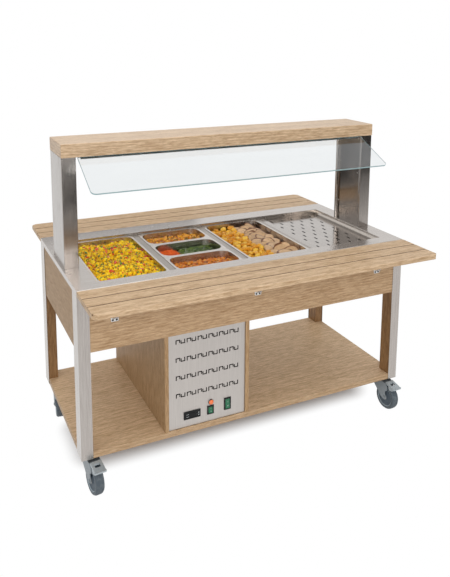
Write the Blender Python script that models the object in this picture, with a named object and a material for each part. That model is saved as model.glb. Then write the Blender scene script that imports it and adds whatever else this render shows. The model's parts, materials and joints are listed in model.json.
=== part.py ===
"""Heated buffet trolley: a timber frame on braked castors, a stainless worktop with a water well and food pans,
a canopy with a sneeze glass, two folding tray slides and a control cabinet.
Metres, +Z up, the customer's side is -Y."""

import math

import bmesh
import bpy
from mathutils import Matrix, Vector

for old in list(bpy.data.objects):
    bpy.data.objects.remove(old, do_unlink=True)

# ---- whole trolley
benchLength = 1.576
benchDepth = 0.738
benchTop = 0.870
castorHeight = 0.1546
gap = 0.0004

# ---- timber frame and its steel angles
edgeDrop = 0.021
deckSheet = 0.002
apronHeight = 0.2615
boardThick = 0.018
legWide = 0.0480
legDeep = 0.0767
angleSheet = 0.0015
coreReach = 0.003
railReach = 0.010
shelfThick = 0.025

# ---- recess and water well: margins from the bench's edges, depths from its top
marginLeft = 0.0985
marginRight = 0.0832
marginFront = 0.0693
marginRear = 0.1018
recessDepth = 0.027
ledge = 0.010
edgeSoft = 0.0015
wellDepth = 0.190
wellSheet = 0.0015
wellInset = 0.004
wellLip = 0.010
wellCorner = 0.030
wellBend = 0.022

# ---- food pans and the bars that carry them
panWide = 0.3147
panGap = 0.0303
panEnd = 0.0052
panSide = 0.0014
panDepth = 0.095
panDown = 0.013
panSheet = 0.0012
panTaper = 0.006
panFoot = 0.018
panCorner = 0.040
panFlange = 0.010
smallFlange = 0.0118
smallCorner = 0.044
smallCount = 3
flangeLip = 0.002
barShow = 0.0022
barClear = 0.0006
recessClear = 0.0008

# ---- perforated drip plate
plateBar = 0.0215
plateDown = 0.0255
plateRise = 0.0095
plateStep = 0.028
plateRamp = 0.004
plateSheet = 0.0012
slotLong = 0.027
slotWide = 0.0055
slotAcross = 0.0306
slotAlong = 0.1138
slotFront = 0.0695
slotSide = 0.0615

# ---- heating element and drain
tubeRadius = 0.0045
tubeUp = 0.022
tubeMargin = 0.090
tubeBend = 0.022
tubeRuns = 4
drainFromEnd = 0.155
drainFromRear = 0.107
drainPipe = 0.011
drainDrop = 0.052
drainNut = 0.018
drainSpout = 0.0095
drainLever = 0.058

# ---- control cabinet
cabinetFromEnd = 0.3558
cabinetWide = 0.3941
cabinetSide = 0.0174
cabinetRearIn = 0.0075
cabinetBack = 0.008
panelInset = 0.006
panelFold = 0.016
panelSheet = 0.0012
panelClear = 0.0011
ventPitch = 0.0499
ventWide = 0.0435
ventHigh = 0.0195
ventStroke = 0.0046
ventSplit = 0.0017
ventRows = 4
ventDown = 0.0234
ventDrop = 0.0809
ventMargin = 0.026
bezelLip = 0.0036
cutClear = 0.0006
thermostatFace = (0.0770, 0.0352)
thermostatAt = (0.1246, 0.0524)
thermostatProud = 0.004
thermostatDeep = 0.055
smallSwitchFace = (0.0314, 0.0398)
smallSwitchAt = (0.2104, 0.0526)
largeSwitchFace = (0.0326, 0.0560)
largeSwitchAt = (0.2919, 0.0618)
switchProud = 0.0035
switchDeep = 0.022
rockerRim = 0.0052
rockerClear = 0.0007
lampRadius = 0.0125
lampAt = (0.2126, 0.0883)
lampDeep = 0.026
inletFace = (0.050, 0.036)
inletBody = (0.030, 0.026)
inletWall = 0.003
inletFromRight = 0.122
inletUp = 0.090

# ---- posts, canopy and sneeze glass
canopyInset = 0.0105
canopyDeep = 0.2275
canopyShift = -0.0024
canopyRise = 0.4714
canopyThick = 0.0569
canopySoft = 0.002
canopyWall = 0.018
canopyHollow = 0.036
postWide = 0.0608
postDeep = 0.2193
postTuck = 0.0005
postSheet = 0.0018
postLip = 0.012
postRecess = 0.0125
postBend = 0.002
glassSide = 0.0077
glassTuck = 0.0077
glassDown = 0.0011
glassRun = 0.2452
glassFall = 25.6
glassThick = 0.006
glassCorner = 0.020
railSheet = 0.0025
railDeep = 0.037
railGrip = 0.0085
railLip = 0.002
railEnd = 0.012

# ---- folding tray slides
slideDepth = 0.247
slideThick = 0.0205
slideChamfer = 0.017
slideClear = 0.003
grooveAt = (0.34, 0.66)
grooveWide = 0.0050
grooveDeep = 0.0040
hingeOut = 0.011
hingeDown = 0.0305
knuckleRadius = 0.0040
knuckleLong = 0.100
hingePitch = 0.43
webThick = 0.003
strapSheet = 0.0026
strapLong = 0.205
bracketEnd = 0.148
bracketWide = 0.031
bracketDown = 0.1486
footSheet = 0.0012
earGap = 0.0096
earSheet = 0.0020
earHalf = 0.006
stayPivotDown = 0.128
stayLength = 0.1305
stayReach = 0.085
stayHalf = 0.0085
stayBar = 0.0040
rodRadius = 0.0040
rodEnd = 0.015

# ---- castors: local +X is the way the wheel trails
castorEnd = 0.047
castorSide = 0.057
castorClear = 0.0008
bearing = 0.0008
castorTrail = 0.052
wheelRadius = 0.0625
wheelWide = 0.036
treadGroove = 0.0016
treadAt = 0.0065
wheelClear = 0.0022
cheekSheet = 0.0045
cupRadius = 0.031
cupHigh = 0.014
axleRadius = 0.0058
axleProud = 0.003
bossRadius = 0.012
pedalReach = 0.119
pedalHinge = 0.066
pedalTip = 0.050
pedalSkirt = 0.0036
castorTurn = {"fl": -83.0, "fr": -86.0, "rl": -97.0, "rr": -92.0}

# ---- finishes
finishes = {
    "oak": ((0.56, 0.40, 0.26), 0.55, 0.0),
    "oak_core": ((0.30, 0.19, 0.11), 0.6, 0.0),
    "steel": ((0.60, 0.59, 0.575), 0.34, 1.0),
    "pan_steel": ((0.66, 0.65, 0.63), 0.25, 1.0),
    "zinc": ((0.42, 0.44, 0.45), 0.45, 0.8),
    "glass": ((0.80, 0.88, 0.89), 0.04, 0.0),
    "black": ((0.02, 0.02, 0.022), 0.4, 0.0),
    "green": ((0.02, 0.26, 0.14), 0.3, 0.0),
    "orange": ((0.90, 0.30, 0.08), 0.25, 0.0),
    "brass": ((0.62, 0.46, 0.20), 0.35, 1.0),
    "red": ((0.55, 0.05, 0.04), 0.45, 0.0),
    "tyre": ((0.055, 0.065, 0.075), 0.7, 0.0),
}
finishOf = {}
for key, (tint, rough, metal) in finishes.items():
    mat = bpy.data.materials.new(key)
    mat.use_nodes = True
    shader = mat.node_tree.nodes["Principled BSDF"]
    shader.inputs["Base Color"].default_value = (*tint, 1.0)
    shader.inputs["Roughness"].default_value = rough
    shader.inputs["Metallic"].default_value = metal
    if key == "glass":
        shader.inputs["Alpha"].default_value = 0.35
    mat.diffuse_color = (*tint, 1.0)
    finishOf[key] = mat


# ---- outlines
def roundRect(x0, x1, y0, y1, r, z, steps=4):
    points = []
    for cx, cy, start in ((x1 - r, y1 - r, 0), (x0 + r, y1 - r, 90), (x0 + r, y0 + r, 180), (x1 - r, y0 + r, 270)):
        for i in range(steps + 1):
            a = math.radians(start + 90.0 * i / steps)
            points.append((cx + r * math.cos(a), cy + r * math.sin(a), z))
    return points


def circle(cx, cy, r, count, start=0.0):
    turns = [start + 2 * math.pi * i / count for i in range(count)]
    return [(cx + r * math.cos(t), cy + r * math.sin(t)) for t in turns]


def inset(outline, d):
    """The outline moved inward by d along its edges' normals."""
    count = len(outline)
    area = sum(outline[i][0] * outline[(i + 1) % count][1] - outline[(i + 1) % count][0] * outline[i][1]
               for i in range(count))
    way = 1.0 if area > 0 else -1.0
    moved = []
    for i in range(count):
        p = Vector(outline[i])
        back = (p - Vector(outline[i - 1])).normalized()
        ahead = (Vector(outline[(i + 1) % count]) - p).normalized()
        n0 = Vector((-back.y, back.x)) * way
        n1 = Vector((-ahead.y, ahead.x)) * way
        mid = n0 + n1
        moved.append(tuple(p + mid * (d / max(0.4, mid.dot(n0)))))
    return moved


def softened(outline, radii, steps=3):
    """Round each corner that has a radius in 'radii', a dictionary of corner number to radius."""
    points = []
    count = len(outline)
    for i, corner in enumerate(outline):
        r = radii.get(i, 0.0)
        p = Vector(corner)
        if not r:
            points.append(tuple(p))
            continue
        back = (Vector(outline[i - 1]) - p).normalized()
        ahead = (Vector(outline[(i + 1) % count]) - p).normalized()
        half = back.angle(ahead) / 2
        reach = r / math.tan(half)
        centre = p + (back + ahead).normalized() * (r / math.sin(half))
        start = p + back * reach - centre
        finish = p + ahead * reach - centre
        turn = finish.angle(start)
        way = 1.0 if start.x * finish.y - start.y * finish.x > 0 else -1.0
        for k in range(steps + 1):
            a = way * turn * k / steps
            points.append((centre.x + start.x * math.cos(a) - start.y * math.sin(a),
                           centre.y + start.x * math.sin(a) + start.y * math.cos(a)))
    return points


def raised(outline, z):
    return [(x, y, z) for x, y in outline]


# ---- solids
def addBox(bm, low, high):
    low, high = [[pick(a, b) for a, b in zip(low, high)] for pick in (min, max)]
    verts = [bm.verts.new((x, y, z)) for x in (low[0], high[0]) for y in (low[1], high[1]) for z in (low[2], high[2])]
    for quad in ((0, 1, 3, 2), (4, 6, 7, 5), (0, 4, 5, 1), (2, 3, 7, 6), (0, 2, 6, 4), (1, 5, 7, 3)):
        bm.faces.new([verts[i] for i in quad])


def newBox(low, high):
    bm = bmesh.new()
    addBox(bm, low, high)
    return bm


def skin(bm, loops, closed=False):
    """Bridge loops of equal length into one closed surface, capped at both ends unless closed on itself."""
    rows = [[bm.verts.new(p) for p in loop] for loop in loops]
    count = len(rows[0])
    pairs = list(zip(rows, rows[1:]))
    if closed:
        pairs.append((rows[-1], rows[0]))
    for low, high in pairs:
        for i in range(count):
            j = (i + 1) % count
            bm.faces.new((low[i], low[j], high[j], high[i]))
    if not closed:
        bm.faces.new(list(reversed(rows[0])))
        bm.faces.new(rows[-1])


def newSkin(loops, closed=False):
    bm = bmesh.new()
    skin(bm, loops, closed)
    return bm


def along(axis, p, t):
    """A 2-D point set at t along an axis: 'x' takes (y, z), 'y' takes (x, z), 'z' takes (x, y)."""
    if axis == "x":
        return (t, p[0], p[1])
    if axis == "y":
        return (p[0], t, p[1])
    return (p[0], p[1], t)


def prism(bm, outline, axis, low, high):
    skin(bm, [[along(axis, p, low) for p in outline], [along(axis, p, high) for p in outline]])


def newPrism(outline, axis, low, high):
    bm = bmesh.new()
    prism(bm, outline, axis, low, high)
    return bm


def softPrism(outline, axis, low, high, soft):
    """A prism whose two end rims are chamfered by 'soft'."""
    small = inset(outline, soft)
    return newSkin([[along(axis, p, t) for p in shape] for shape, t in
                    ((small, low), (outline, low + soft), (outline, high - soft), (small, high))])


def moveAll(bm, matrix):
    bmesh.ops.transform(bm, matrix=matrix, verts=bm.verts)


def temp(bm):
    bmesh.ops.remove_doubles(bm, verts=bm.verts, dist=0.00001)
    bmesh.ops.recalc_face_normals(bm, faces=bm.faces)
    mesh = bpy.data.meshes.new("work")
    bm.to_mesh(mesh)
    bm.free()
    obj = bpy.data.objects.new("work", mesh)
    bpy.context.scene.collection.objects.link(obj)
    return obj


def combine(first, others, operation):
    """Boolean of a bmesh with a list of bmeshes; returns a new bmesh."""
    base = temp(first)
    tools = [temp(other) for other in others]
    for tool in tools:
        mod = base.modifiers.new("cut", "BOOLEAN")
        mod.operation = operation
        mod.solver = "EXACT"
        mod.object = tool
    graph = bpy.context.evaluated_depsgraph_get()
    graph.update()
    mesh = bpy.data.meshes.new_from_object(base.evaluated_get(graph))
    result = bmesh.new()
    result.from_mesh(mesh)
    for obj in [base] + tools:
        bpy.data.objects.remove(obj, do_unlink=True)
    bpy.data.meshes.remove(mesh)
    return result


def place(name, bm, finish, at=None, smooth=False):
    """Make the finished object, with its origin at 'at' or else at its middle."""
    bmesh.ops.remove_doubles(bm, verts=bm.verts, dist=0.00001)
    bmesh.ops.recalc_face_normals(bm, faces=bm.faces)
    mesh = bpy.data.meshes.new(name)
    if at is None:
        at = sum((v.co for v in bm.verts), Vector()) / len(bm.verts)
    at = Vector(at)
    bmesh.ops.translate(bm, verts=bm.verts, vec=-at)
    bm.to_mesh(mesh)
    bm.free()
    obj = bpy.data.objects.new(name, mesh)
    obj.location = at
    bpy.context.scene.collection.objects.link(obj)
    mesh.materials.append(finishOf[finish])
    for poly in mesh.polygons:
        poly.use_smooth = smooth
    return obj


# ---- places that several pieces share
halfL = benchLength / 2
halfW = benchDepth / 2
top = benchTop
apronBottom = top - apronHeight
underDeck = top - deckSheet - gap
coreX = halfL - deckSheet - gap
coreY = halfW - deckSheet - gap
shelfTop = castorHeight + shelfThick
rx0, rx1 = -halfL + marginLeft, halfL - marginRight
ry0, ry1 = -halfW + marginFront, halfW - marginRear
wellFloor = top - wellDepth
wellRim = top - recessDepth - deckSheet - gap
rimZ = top - panDown
canopyBottom = top + canopyRise
canopyTop = canopyBottom + canopyThick
canopyHalf = halfL - canopyInset
canopyY = (canopyShift - canopyDeep / 2, canopyShift + canopyDeep / 2)
postOut = canopyHalf - postTuck
postIn = postOut - postWide
postY = (canopyShift - postDeep / 2, canopyShift + postDeep / 2)
corners = (("fl", -1, -1), ("fr", 1, -1), ("rl", -1, 1), ("rr", 1, 1))
sides = (("front", -1), ("rear", 1))

# ---- timber frame: two end frames of paired leg cores, aprons front and rear, steel angles, notched shelf
coreInX = halfL - legWide + coreReach
coreInY = halfW - legDeep + coreReach
for side, s in (("left", -1), ("right", 1)):
    cores = [newBox((s * coreX, t * coreY, castorHeight), (s * coreInX, t * coreInY, underDeck)) for t in (-1, 1)]
    reach = coreInY + railReach
    rail = newBox((s * coreX, -reach, apronBottom), (s * (coreX - boardThick), reach, underDeck))
    place("end_frame_" + side, combine(cores[0], [cores[1], rail], "UNION"), "oak_core")

apronHalf = coreInX - gap
for side, t in sides:
    low = (-apronHalf, t * coreY, apronBottom)
    high = (apronHalf, t * (coreY - boardThick), underDeck)
    place("apron_" + side, newBox(low, high), "oak")

for corner, s, t in corners:
    x, y = s * halfL, t * halfW
    a = angleSheet
    outline = [(x, y), (x - s * legWide, y), (x - s * legWide, y - t * a), (x - s * a, y - t * a),
               (x - s * a, y - t * legDeep), (x, y - t * legDeep)]
    outline = softened(outline, {0: a}, 2)
    place("leg_angle_" + corner, newPrism(outline, "z", castorHeight, top - edgeDrop - gap), "steel")

notchX = coreInX - gap
notchY = coreInY - gap
shelf = []
for sx, sy in ((1, 1), (-1, 1), (-1, -1), (1, -1)):
    step = [(sx * coreX, sy * notchY), (sx * notchX, sy * notchY), (sx * notchX, sy * coreY)]
    shelf += step if sx * sy > 0 else step[::-1]
place("lower_shelf", softPrism(shelf, "z", castorHeight, shelfTop, 0.0008), "oak")

# ---- worktop: one folded and pressed sheet with the recess and the well's ledge
s = deckSheet
e = edgeSoft


def benchLoop(d, r, z):
    return roundRect(-halfL + d, halfL - d, -halfW + d, halfW - d, r, z, 2)


def recessLoop(d, r, z):
    return roundRect(rx0 + d, rx1 - d, ry0 + d, ry1 - d, r, z, 2)


place("worktop", newSkin([
    benchLoop(0, 2 * e, top - edgeDrop),
    benchLoop(0, 2 * e, top - e),
    benchLoop(e, 2 * e, top),
    recessLoop(-s, 2 * s, top),
    recessLoop(0, s, top - s),
    recessLoop(0, s, top - recessDepth),
    recessLoop(ledge, s, top - recessDepth),
    recessLoop(ledge, s, top - recessDepth - s),
    recessLoop(-s, 2 * s, top - recessDepth - s),
    recessLoop(-s, 2 * s, top - s),
    benchLoop(s, 2 * gap, top - s),
    benchLoop(s, 2 * gap, top - edgeDrop),
], closed=True), "steel", (0, 0, top))

# ---- water well hung under the ledge
w0, w1, v0, v1 = rx0 + wellInset, rx1 - wellInset, ry0 + wellInset, ry1 - wellInset
t = wellSheet


def wellLoop(d, r, z):
    return roundRect(w0 + d, w1 - d, v0 + d, v1 - d, r, z, 3)


place("water_well", newSkin([
    wellLoop(wellCorner, wellCorner, wellFloor + t),
    wellLoop(t, wellCorner, wellFloor + wellBend),
    wellLoop(t, wellCorner, wellRim),
    wellLoop(-wellLip, wellCorner, wellRim),
    wellLoop(-wellLip, wellCorner, wellRim - t),
    wellLoop(0, wellCorner, wellRim - t),
    wellLoop(0, wellCorner, wellFloor + wellBend),
    wellLoop(wellCorner, wellCorner, wellFloor),
]), "steel")

# ---- pan supports: bars lie on the ledge and show between the pans
panX = [(rx0 + panEnd + i * (panWide + panGap), rx0 + panEnd + i * (panWide + panGap) + panWide) for i in range(3)]
panY = (ry0 + panSide, ry1 - panSide)
smallPitch = (panY[1] - panY[0]) / smallCount
barZ = rimZ - flangeLip - barClear
barUnder = panFlange - barShow
barEnd = panX[2][1] + plateBar
bars = newBox((rx0 + recessClear, ry0 + recessClear, top - recessDepth + gap), (barEnd, ry1 - recessClear, barZ))
holes = []
for i in (0, 2):
    holes.append(newBox((panX[i][0] + barUnder, panY[0] + barUnder, 0), (panX[i][1] - barUnder, panY[1] - barUnder, 2)))
for i in range(smallCount):
    y0 = panY[0] + smallPitch * i
    lowIn = barUnder if i == 0 else smallFlange - barShow
    highIn = barUnder if i == smallCount - 1 else smallFlange - barShow
    holes.append(newBox((panX[1][0] + barUnder, y0 + lowIn, 0), (panX[1][1] - barUnder, y0 + smallPitch - highIn, 2)))
place("pan_bars", combine(bars, holes, "DIFFERENCE"), "steel")


def pan(name, xr, yr, flanges, radius):
    """A pressed pan: flat flange with a turned lip, tapering walls and a coved floor."""
    fx, fy = flanges
    x0, x1 = xr
    y0, y1 = yr
    low = rimZ - panDepth

    def mouth(d, r, z):
        return roundRect(x0 + fx + d, x1 - fx - d, y0 + fy + d, y1 - fy - d, r, z, 3)

    def rim(z):
        return roundRect(x0, x1, y0, y1, 0.008, z, 3)

    cove = panTaper + panSheet * 4
    place(name, newSkin([
        mouth(panFoot, radius - panFoot + panTaper, low + panSheet),
        mouth(cove, radius, low + panSheet * 4),
        mouth(panTaper, radius, low + panFoot - panTaper),
        mouth(0, radius, rimZ),
        rim(rimZ),
        rim(rimZ - flangeLip),
        mouth(-panSheet, radius, rimZ - flangeLip),
        mouth(panTaper - panSheet, radius, low + panFoot - panTaper),
        mouth(cove - panSheet, radius, low + panSheet * 3),
        mouth(panFoot, radius - panFoot + panTaper, low),
    ]), "pan_steel", ((x0 + x1) / 2, (y0 + y1) / 2, rimZ))


pan("rice_pan", panX[0], panY, (panFlange, panFlange), panCorner)
pan("roast_pan", panX[2], panY, (panFlange, panFlange), panCorner)
for i, name in enumerate(("small_pan_front", "small_pan_middle", "small_pan_back")):
    y0 = panY[0] + smallPitch * i + gap / 2
    pan(name, panX[1], (y0, y0 + smallPitch - gap), (panFlange, smallFlange), smallCorner)

# ---- perforated plate over the dry end of the well, stepped up at its left edge, with staggered slots
plateX = (barEnd + gap, rx1 - recessClear)
plateY = (ry0 + recessClear, ry1 - recessClear)
pz = top - plateDown
stepEnd = plateX[0] + plateStep
profile = [(plateX[0], pz + plateRise), (plateX[0], pz + plateRise - plateSheet),
           (stepEnd - plateSheet / 2, pz + plateRise - plateSheet),
           (stepEnd + plateRamp - plateSheet / 2, pz - plateSheet), (plateX[1], pz - plateSheet),
           (plateX[1], pz), (stepEnd + plateRamp, pz), (stepEnd, pz + plateRise)]
slots = bmesh.new()
lastX = plateX[1] - slotSide
columns = int((lastX - stepEnd - plateRamp - slotWide) / slotAcross) + 1
for col in range(columns):
    x = lastX - slotAcross * col
    y = plateY[0] + slotFront + (col % 2) * slotAlong / 2
    while y + slotLong / 2 < plateY[1] - slotWide:
        end = roundRect(x - slotWide / 2, x + slotWide / 2, y - slotLong / 2, y + slotLong / 2, slotWide * 0.35, pz, 1)
        newSlot = [raised([(p[0], p[1]) for p in end], z) for z in (pz - plateRise, pz + plateRise)]
        skin(slots, newSlot)
        y += slotAlong
plate = newPrism(profile, "y", plateY[0], plateY[1])
place("perforated_plate", combine(plate, [slots], "DIFFERENCE"), "steel", (sum(plateX) / 2, sum(plateY) / 2, pz))

# ---- heating element: one tube that rises from the well floor, runs to and fro and goes down again
tubeZ = wellFloor + tubeUp
ends = (w0 + tubeMargin, w1 - tubeMargin)
step = (v1 - v0 - 2 * tubeMargin) / (tubeRuns - 1)
route = [(ends[0], v0 + tubeMargin, wellFloor + wellSheet + gap), (ends[0], v0 + tubeMargin, tubeZ - tubeBend / 2)]
for i in range(tubeRuns):
    y = v0 + tubeMargin + step * i
    a, b = ends if i % 2 == 0 else ends[::-1]
    way = 1 if b > a else -1
    route.append((a + way * tubeBend, y, tubeZ))
    route.append((b - way * tubeBend, y, tubeZ))
    if i < tubeRuns - 1:
        route.append((b, y + tubeBend, tubeZ))
        route.append((b, y + step - tubeBend, tubeZ))
last = ends[1] if tubeRuns % 2 else ends[0]
route += [(last, y, tubeZ - tubeBend / 2), (last, y, wellFloor + wellSheet + gap)]
loops = []
for i, point in enumerate(route):
    p = Vector(point)
    back = (p - Vector(route[i - 1])).normalized() if i else Vector((0, 0, 0))
    ahead = (Vector(route[i + 1]) - p).normalized() if i < len(route) - 1 else Vector((0, 0, 0))
    way = (back + ahead).normalized()
    across = Vector((-way.y, way.x, 0))
    across = across.normalized() if across.length > 0.2 else Vector((0, 1, 0))
    if loops and across.dot(lastAcross) < 0:
        across = -across
    up = way.cross(across)
    lastAcross = across
    loops.append([tuple(p + across * (tubeRadius * c) + up * (tubeRadius * d)) for c, d in circle(0, 0, 1, 8)])
place("heating_element", newSkin(loops), "zinc", smooth=True)

# ---- drain: an elbow valve under the well with a quarter-turn lever
drainX, drainY = rx1 - drainFromEnd, ry1 - drainFromRear
nutLow, nutHigh = wellFloor - drainDrop + 0.008, wellFloor - 0.014
drainZ = (nutLow + nutHigh) / 2
pipe = newPrism(circle(drainX, drainY, drainPipe, 16), "z", wellFloor - drainDrop, wellFloor - gap)
body = newPrism(circle(drainX, drainY, drainNut, 6), "z", nutLow, nutHigh)
spout = newPrism(circle(drainY, drainZ, drainSpout, 16), "x", drainX, drainX + 3 * drainNut)
place("drain_valve", combine(pipe, [body, spout], "UNION"), "brass", (drainX, drainY, wellFloor))
leverY = drainY - drainNut - gap
hub = newPrism(circle(drainX, drainZ, drainSpout, 12), "y", leverY - 0.008, leverY)
arm = [(drainX, drainZ - 0.006), (drainX - drainLever, drainZ - 0.004), (drainX - drainLever, drainZ + 0.004), (drainX, drainZ + 0.006)]
arm = newPrism(softened(arm, {1: 0.0035, 2: 0.0035}, 2), "y", leverY - 0.0075, leverY - 0.0045)
place("drain_lever", combine(hub, [arm], "UNION"), "red", (drainX, leverY, drainZ))

# ---- control cabinet: two sides notched round the aprons, a rear panel and a folded steel front
cabinetX = (-halfL + cabinetFromEnd, -halfL + cabinetFromEnd + cabinetWide)
sideTop = wellFloor - 10 * gap
frontIn = coreY - boardThick - gap
cabinetRear = halfW - cabinetRearIn
outline = [(-coreY, shelfTop + gap), (cabinetRear, shelfTop + gap), (cabinetRear, apronBottom - gap),
           (frontIn, apronBottom - gap), (frontIn, sideTop), (-frontIn, sideTop), (-frontIn, apronBottom - gap),
           (-coreY, apronBottom - gap)]
for name, x0 in (("cabinet_left", cabinetX[0]), ("cabinet_right", cabinetX[1] - cabinetSide)):
    place(name, softPrism(outline, "x", x0, x0 + cabinetSide, 0.0006), "oak")
inside = (cabinetX[0] + cabinetSide + gap, cabinetX[1] - cabinetSide - gap)
backY = frontIn - gap
back = newBox((inside[0], backY - cabinetBack, shelfTop + gap), (inside[1], backY, sideTop))
place("cabinet_back", back, "oak")

px0, px1 = inside[0] + gap, inside[1] - gap
pz0, pz1 = shelfTop + panelClear, apronBottom - panelClear
panelY = -coreY + panelInset
t = panelSheet


def upright(x0, x1, z0, z1, y):
    return [(x0, y, z0), (x1, y, z0), (x1, y, z1), (x0, y, z1)]


panel = newSkin([upright(px0, px1, pz0, pz1, panelY), upright(px0, px1, pz0, pz1, panelY + panelFold),
                 upright(px0 + t, px1 - t, pz0 + t, pz1 - t, panelY + panelFold),
                 upright(px0 + t, px1 - t, pz0 + t, pz1 - t, panelY + t)])
cuts = bmesh.new()
cutY = (panelY - panelSheet * 4, panelY + panelSheet * 4)
ventCount = int((px1 - px0 - 2 * ventMargin) / ventPitch)
ventLeft = (px0 + px1) / 2 - (ventPitch * (ventCount - 1) + ventWide) / 2
b, wide, high = ventStroke, ventWide, ventHigh
half = (wide - ventSplit) / 2
for row in range(ventRows):
    z = pz1 - ventDown - ventDrop * row
    for col in range(ventCount):
        x = ventLeft + ventPitch * col
        u = x + half + ventSplit
        arch = [(x, z - high), (x + b, z - high), (x + b, z - b), (x + half - b, z - b),
                (x + half - b, z - high * 0.78), (x + half, z - high * 0.78), (x + half, z), (x, z)]
        cup = [(u, z - high * 0.22), (u + b, z - high * 0.22), (u + b, z - high + b), (x + wide - b, z - high + b),
               (x + wide - b, z), (x + wide, z), (x + wide, z - high), (u, z - high)]
        for shape in (arch, cup):
            prism(cuts, shape, "y", *cutY)


def spot(offset, face=(0.0, 0.0)):
    """Centre and half sizes of a control, from its offset to the cabinet's left side and the shelf."""
    return cabinetX[0] + offset[0], shelfTop + offset[1], face[0] / 2, face[1] / 2


controls = {
    "thermostat": spot(thermostatAt, thermostatFace),
    "small_switch": spot(smallSwitchAt, smallSwitchFace),
    "large_switch": spot(largeSwitchAt, largeSwitchFace),
}
for cx, cz, hx, hz in controls.values():
    inner = bezelLip - cutClear
    addBox(cuts, (cx - hx + inner, cutY[0], cz - hz + inner), (cx + hx - inner, cutY[1], cz + hz - inner))
lampX, lampZ = spot(lampAt)[:2]
prism(cuts, circle(lampX, lampZ, lampRadius - bezelLip / 2 + cutClear, 16), "y", *cutY)
place("control_panel", combine(panel, [cuts], "DIFFERENCE"), "steel")

faceY = panelY - gap


def bezel(key, proud, deep):
    """A softened frame in front of the panel with its smaller body behind."""
    cx, cz, hx, hz = controls[key]
    c = proud / 2.6

    def ring(d, y):
        return upright(cx - hx + d, cx + hx - d, cz - hz + d, cz + hz - d, y)

    return newSkin([ring(c, faceY - proud), ring(0, faceY - proud + c), ring(0, faceY),
                    ring(bezelLip, faceY), ring(bezelLip, faceY + deep)])


cx, cz, hx, hz = controls["thermostat"]
window = newBox((cx - hx * 0.86, faceY - 0.02, cz - hz * 0.70), (cx + hx * 0.86, faceY - thermostatProud + 0.0012, cz + hz * 0.70))
place("thermostat", combine(bezel("thermostat", thermostatProud, thermostatDeep), [window], "DIFFERENCE"), "black")

dome = [(0.30, -0.0088), (0.62, -0.0074), (0.86, -0.0046), (1.0, -0.0020), (1.0, 0.0)]
loops = [[(x, faceY + y, z) for x, z in circle(lampX, lampZ, lampRadius * share, 16)] for share, y in dome]
for y in (0.0, lampDeep):
    loops.append([(x, faceY + y, z) for x, z in circle(lampX, lampZ, lampRadius - bezelLip / 2, 16)])
place("pilot_lamp", newSkin(loops), "orange", (lampX, panelY, lampZ), smooth=True)

for name in ("small_switch", "large_switch"):
    cx, cz, hx, hz = controls[name]
    pocketX, pocketZ = hx - rockerRim, hz - rockerRim
    pocket = newBox((cx - pocketX, faceY - 0.02, cz - pocketZ), (cx + pocketX, faceY + 0.016, cz + pocketZ))
    place(name + "_frame", combine(bezel(name, switchProud, switchDeep), [pocket], "DIFFERENCE"), "black")
    wx = pocketX - rockerClear
    wz = pocketZ - rockerClear - 0.0006
    pressed, middle, lifted = faceY - 0.0012, faceY - 0.0022, faceY - 0.0052
    rocker = [(pressed, cz + wz), (middle, cz), (lifted, cz - wz * 0.97), (faceY + 0.0050, cz - wz * 0.90),
              (faceY + 0.0092, cz), (faceY + 0.0050, cz + wz * 0.90)]
    place(name + "_rocker", newPrism(rocker, "x", cx - wx, cx + wx), "green", (cx, faceY + 0.0035, cz))

# ---- mains inlet on the cabinet's rear panel
inletX, inletZ = cabinetX[1] - inletFromRight, shelfTop + inletUp
plug = newBox((inletX - inletBody[0] / 2, frontIn, inletZ - inletBody[1] / 2),
              (inletX + inletBody[0] / 2, frontIn + 0.011, inletZ + inletBody[1] / 2))
flangeBox = newBox((inletX - inletFace[0] / 2, frontIn, inletZ - inletFace[1] / 2),
                   (inletX + inletFace[0] / 2, frontIn + 0.0035, inletZ + inletFace[1] / 2))
hollow = newBox((inletX - inletBody[0] / 2 + inletWall, frontIn + 0.002, inletZ - inletBody[1] / 2 + inletWall),
                (inletX + inletBody[0] / 2 - inletWall, frontIn + 0.02, inletZ + inletBody[1] / 2 - inletWall))
place("mains_inlet", combine(combine(plug, [flangeBox], "UNION"), [hollow], "DIFFERENCE"), "black")

# ---- posts: folded boxes whose inner cover sits back between two lips
for side, s in (("left", -1), ("right", 1)):
    xo, xi, xr = s * postOut, s * postIn, s * (postIn + postRecess)
    y0, y1 = postY
    shape = [(xo, y0), (xi, y0), (xi, y0 + postLip), (xr, y0 + postLip), (xr, y1 - postLip), (xi, y1 - postLip),
             (xi, y1), (xo, y1)]
    outer = softened(shape, {0: postBend, 1: postBend, 6: postBend, 7: postBend}, 2)
    inner = softened(inset(shape, postSheet), {0: postBend / 4, 1: postBend / 4, 6: postBend / 4, 7: postBend / 4}, 2)
    post = newSkin([raised(outer, top + gap), raised(outer, canopyBottom - gap), raised(inner, canopyBottom - gap),
                    raised(inner, top + gap)], closed=True)
    place("post_" + side, post, "steel", (s * postOut, 0, top))

# ---- canopy: a boxed board, open below between its end blocks
c = canopySoft


def canopyLoop(d, r, z):
    return roundRect(-canopyHalf + d, canopyHalf - d, canopyY[0] + d, canopyY[1] - d, r, z, 2)


canopy = newSkin([canopyLoop(c / 2, c, canopyBottom), canopyLoop(0, c, canopyBottom + c / 2),
                  canopyLoop(0, c, canopyTop - c), canopyLoop(c, c, canopyTop)])
hollow = newBox((-postIn + canopyWall / 2, canopyY[0] + railDeep + canopyWall / 2, canopyBottom - 0.01),
                (postIn - canopyWall / 2, canopyY[1] - canopyWall, canopyBottom + canopyHollow))
place("canopy", combine(canopy, [hollow], "DIFFERENCE"), "oak", (0, 0, canopyBottom))

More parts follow.
